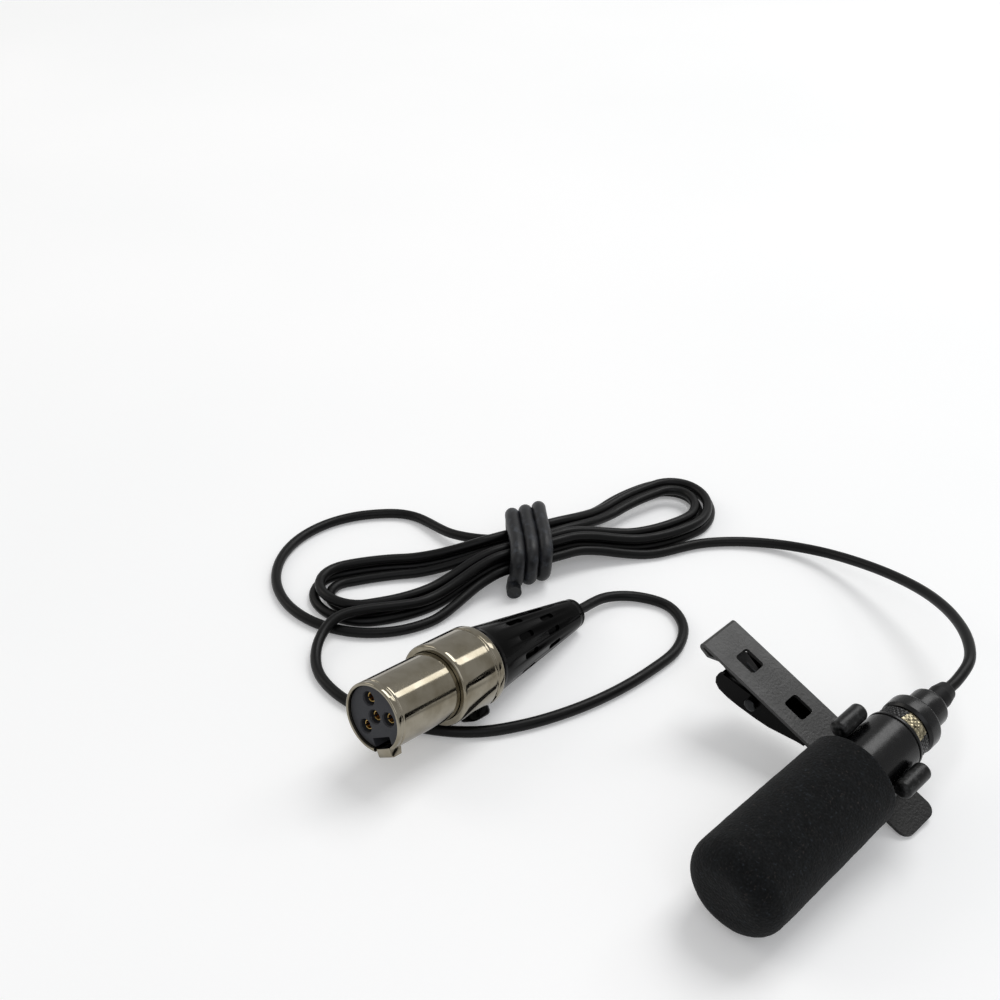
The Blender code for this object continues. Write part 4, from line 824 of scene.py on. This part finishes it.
def hankRoute():
    runHalf = cordCfg["half"] - cordCfg["endHalf"]
    first = hankPoint(cordCfg["joinX"], -1, 2, 0)
    last = hankPoint(cordCfg["leaveX"], -1, 1, 1)
    points = [first]
    marks = [i / 8 for i in range(-8, 9)]
    for i, (order, level) in enumerate(runs):
        side = -1 if i % 2 == 0 else 1
        for mark in marks:
            x = side * mark * runHalf
            if i == 0 and not cordCfg["strayStart"] < x < cordCfg["joinX"] - 2:
                continue
            if i == 1 and x < cordCfg["strayBack"]:
                continue
            if i == len(runs) - 1 and x < cordCfg["leaveX"] + 1:
                continue
            climb = ease((side * mark + 1) / 2) if level is None else level
            points.append(hankPoint(x, side, order, climb))
        if i == 0:
            for turn in range(-80, -311, -23):
                reach = cordCfg["strayReach"] * (1 - cordCfg["strayShrink"] * (turn + 80))
                points.append(Vector((cordCfg["strayX"] + reach * cos(radians(turn)),
                                      cordCfg["strayY"] + reach * sin(radians(turn)), cordCfg["radius"])))
            points.append(Vector((-8.4, 9.9, cordCfg["radius"] + 0.4 * cordCfg["lift"])))
        elif i < len(runs) - 1:
            points += hankFold(side, order, runs[i + 1][0], climb)
    return points + [last]


# Even points on the centripetal curve through the given ones.
def smoothRoute(points, spacing):
    knots = [points[0] * 2 - points[1]] + points + [points[-1] * 2 - points[-2]]
    dense = []
    for a, b, c, d in zip(knots, knots[1:], knots[2:], knots[3:]):
        t1 = (b - a).length ** 0.5
        t2 = t1 + (c - b).length ** 0.5
        t3 = t2 + (d - c).length ** 0.5
        for i in range(16):
            t = t1 + (t2 - t1) * i / 16
            ab = a * ((t1 - t) / t1) + b * (t / t1)
            bc = b * ((t2 - t) / (t2 - t1)) + c * ((t - t1) / (t2 - t1))
            cd = c * ((t3 - t) / (t3 - t2)) + d * ((t - t2) / (t3 - t2))
            abc = ab * ((t2 - t) / t2) + bc * (t / t2)
            bcd = bc * ((t3 - t) / (t3 - t1)) + cd * ((t - t1) / (t3 - t1))
            dense.append(abc * ((t2 - t) / (t2 - t1)) + bcd * ((t - t1) / (t2 - t1)))
    dense.append(points[-1])
    even, left = [dense[0]], spacing
    for a, b in zip(dense, dense[1:]):
        size = (b - a).length
        while size and left <= size:
            a = a + (b - a) * (left / size)
            even.append(a)
            size = (b - a).length
            left = spacing
        left -= size
    return even + [dense[-1]]


# Points in mm of a turned frame, as metres in the room.
def inRoom(matrix, points):
    return [matrix @ (Vector(p) * mm) for p in points]


reliefRear, bootRear = 18.3, 43.0
route = inRoom(head, [(0, reliefRear - 0.2, 0), (0, reliefRear + 0.5, 0), (0, reliefRear + 2.2, 0)])
route += [Vector(p) * mm for p in micPoints]
route += inRoom(hank, hankRoute())
route += [Vector(p) * mm for p in reversed(plugPoints)]
route += inRoom(plug, [(0, bootRear + 2.2, 0), (0, bootRear + 0.5, 0), (0, bootRear - 0.2, 0)])
route = smoothRoute(route, 1.0 * mm)
route = [Vector((p.x, p.y, max(p.z, cordCfg["radius"] * mm))) for p in route]

cordCurve = bpy.data.curves.new("cord", "CURVE")
cordCurve.dimensions = "3D"
cordCurve.bevel_depth = cordCfg["radius"] * mm
cordCurve.bevel_resolution = 5
cordCurve.use_fill_caps = True
cordLine = cordCurve.splines.new("POLY")
cordLine.points.add(len(route) - 1)
for knot, place in zip(cordLine.points, route):
    knot.co = (*place, 1.0)
cordLine.use_smooth = True
cordCurve.materials.append(jacket)
cord = bpy.data.objects.new("cord", cordCurve)
bpy.context.collection.objects.link(cord)
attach(cord, "microphone")
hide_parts("mic_lead", "cord_hank", "plug_lead")

tieCfg = dict(radius=1.17, turns=2.88, pitch=2.4, middle=-0.41, half=6.2, z=4.03, rise=2.85,
              squareness=0.5, start=-45.0, skew=0.34, steps=160, tail=((-1.3, -2.7, -0.1), (-0.8, -1.4, 0)))


# Rounded-square turns round the waist, leaning over, with a short tail under the first.
def buildTie(cfg):
    points = []
    for i in range(cfg["steps"] + 1):
        turn = radians(cfg["start"]) + 2 * pi * cfg["turns"] * i / cfg["steps"]
        along = cfg["pitch"] * ((turn - radians(cfg["start"])) / (2 * pi) - cfg["turns"] / 2)
        across = abs(cos(turn)) ** cfg["squareness"] * (1 if cos(turn) >= 0 else -1)
        up = abs(sin(turn)) ** cfg["squareness"] * (1 if sin(turn) >= 0 else -1)
        points.append(Vector((along - cfg["skew"] * cfg["half"] * across,
                              cfg["middle"] - cfg["half"] * across, cfg["z"] + cfg["rise"] * up)))
    return swept([points[0] + Vector(step) for step in cfg["tail"]] + points, cfg["radius"], 16)


tie = makePiece("rubber_tie", buildTie(tieCfg), [tieRubber], "microphone",
                ("hank_tie",), hank, 60)
print("cord and tie")

# the CAD nodes that stay: hidden works and the grille
for name, coat in (("front_grille", satin), ("capsule", capsuleSteel), ("capsule_seat", gripRubber),
                   ("preamp_board", boardLacquer), ("cable_clamp", insertNylon)):
    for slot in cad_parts[name].material_slots:
        slot.material = coat

# floor, light and air
floorCfg = dict(size=4.0, glow=0.2, cloud=6.0, roughness=0.6)
bm = bmesh.new()
bmesh.ops.create_grid(bm, x_segments=1, y_segments=1, size=floorCfg["size"] / 2)
floorMesh = bpy.data.meshes.new("floor")
bm.to_mesh(floorMesh)
bm.free()
floor = bpy.data.objects.new("floor", floorMesh)
bpy.context.collection.objects.link(floor)
floorPaint, tree, shader = newMaterial("matt white laminate")
spot = addNode(tree, "TexCoord").outputs["Object"]
cloud = addNode(tree, "TexNoise", {"Scale": floorCfg["cloud"], "Detail": 3.0},
                {"Vector": spot}).outputs["Fac"]
white = addNode(tree, "ValToRGB", links={0: cloud}, stops=[(0.3, "#f0f1f1"), (0.7, "#f6f6f6")])
glow = addNode(tree, "MapRange", {"To Max": floorCfg["glow"]}, {"Value": lookingRays(tree)})
tree.links.new(white.outputs["Color"], shader.inputs["Base Color"])
tree.links.new(glow.outputs["Result"], shader.inputs["Emission Strength"])
shader.inputs["Roughness"].default_value = floorCfg["roughness"]
shader.inputs["Emission Color"].default_value = hexColour("#ffffff")
floorMesh.materials.append(floorPaint)

# every lamp looks at lampAim; places and sizes are in metres
lampAim = Vector((-0.03, 0.0, 0.0))
lampCfg = [dict(name="softbox", place=(-0.12, 0.6, 1.0), size=0.6, power=5.4, colour="#ffffff"),
           dict(name="fill", place=(0.6, -0.5, 0.8), size=0.8, power=1.8, colour="#f4f7ff"),
           dict(name="rim", place=(-0.7, -0.3, 0.45), size=0.4, power=0.7, colour="#fffaf2"),
           dict(name="streak", place=(0.145, 0.93, 0.7), size=0.26, power=0.7, colour="#ffffff")]
for cfg in lampCfg:
    lamp = bpy.data.lights.new(cfg["name"], "AREA")
    lamp.shape = "SQUARE"
    lamp.size = cfg["size"]
    lamp.energy = cfg["power"]
    lamp.color = hexColour(cfg["colour"])[:3]
    stand = bpy.data.objects.new(cfg["name"], lamp)
    bpy.context.collection.objects.link(stand)
    stand.location = cfg["place"]
    stand.rotation_euler = (lampAim - Vector(cfg["place"])).to_track_quat("-Z", "Y").to_euler()

world = bpy.data.worlds.new("pale room")
bpy.context.scene.world = world
world.use_nodes = True
tree = world.node_tree
background = tree.nodes["Background"]
background.inputs["Color"].default_value = hexColour("#f5f5f5")
worldCfg = dict(lighting=0.4, seen=0.62)
strength = addNode(tree, "MapRange", {"To Min": worldCfg["lighting"], "To Max": worldCfg["seen"]},
                   {"Value": lookingRays(tree)})
tree.links.new(strength.outputs["Result"], background.inputs["Strength"])

bpy.context.scene.view_settings.view_transform = "Standard"
print("light and room")
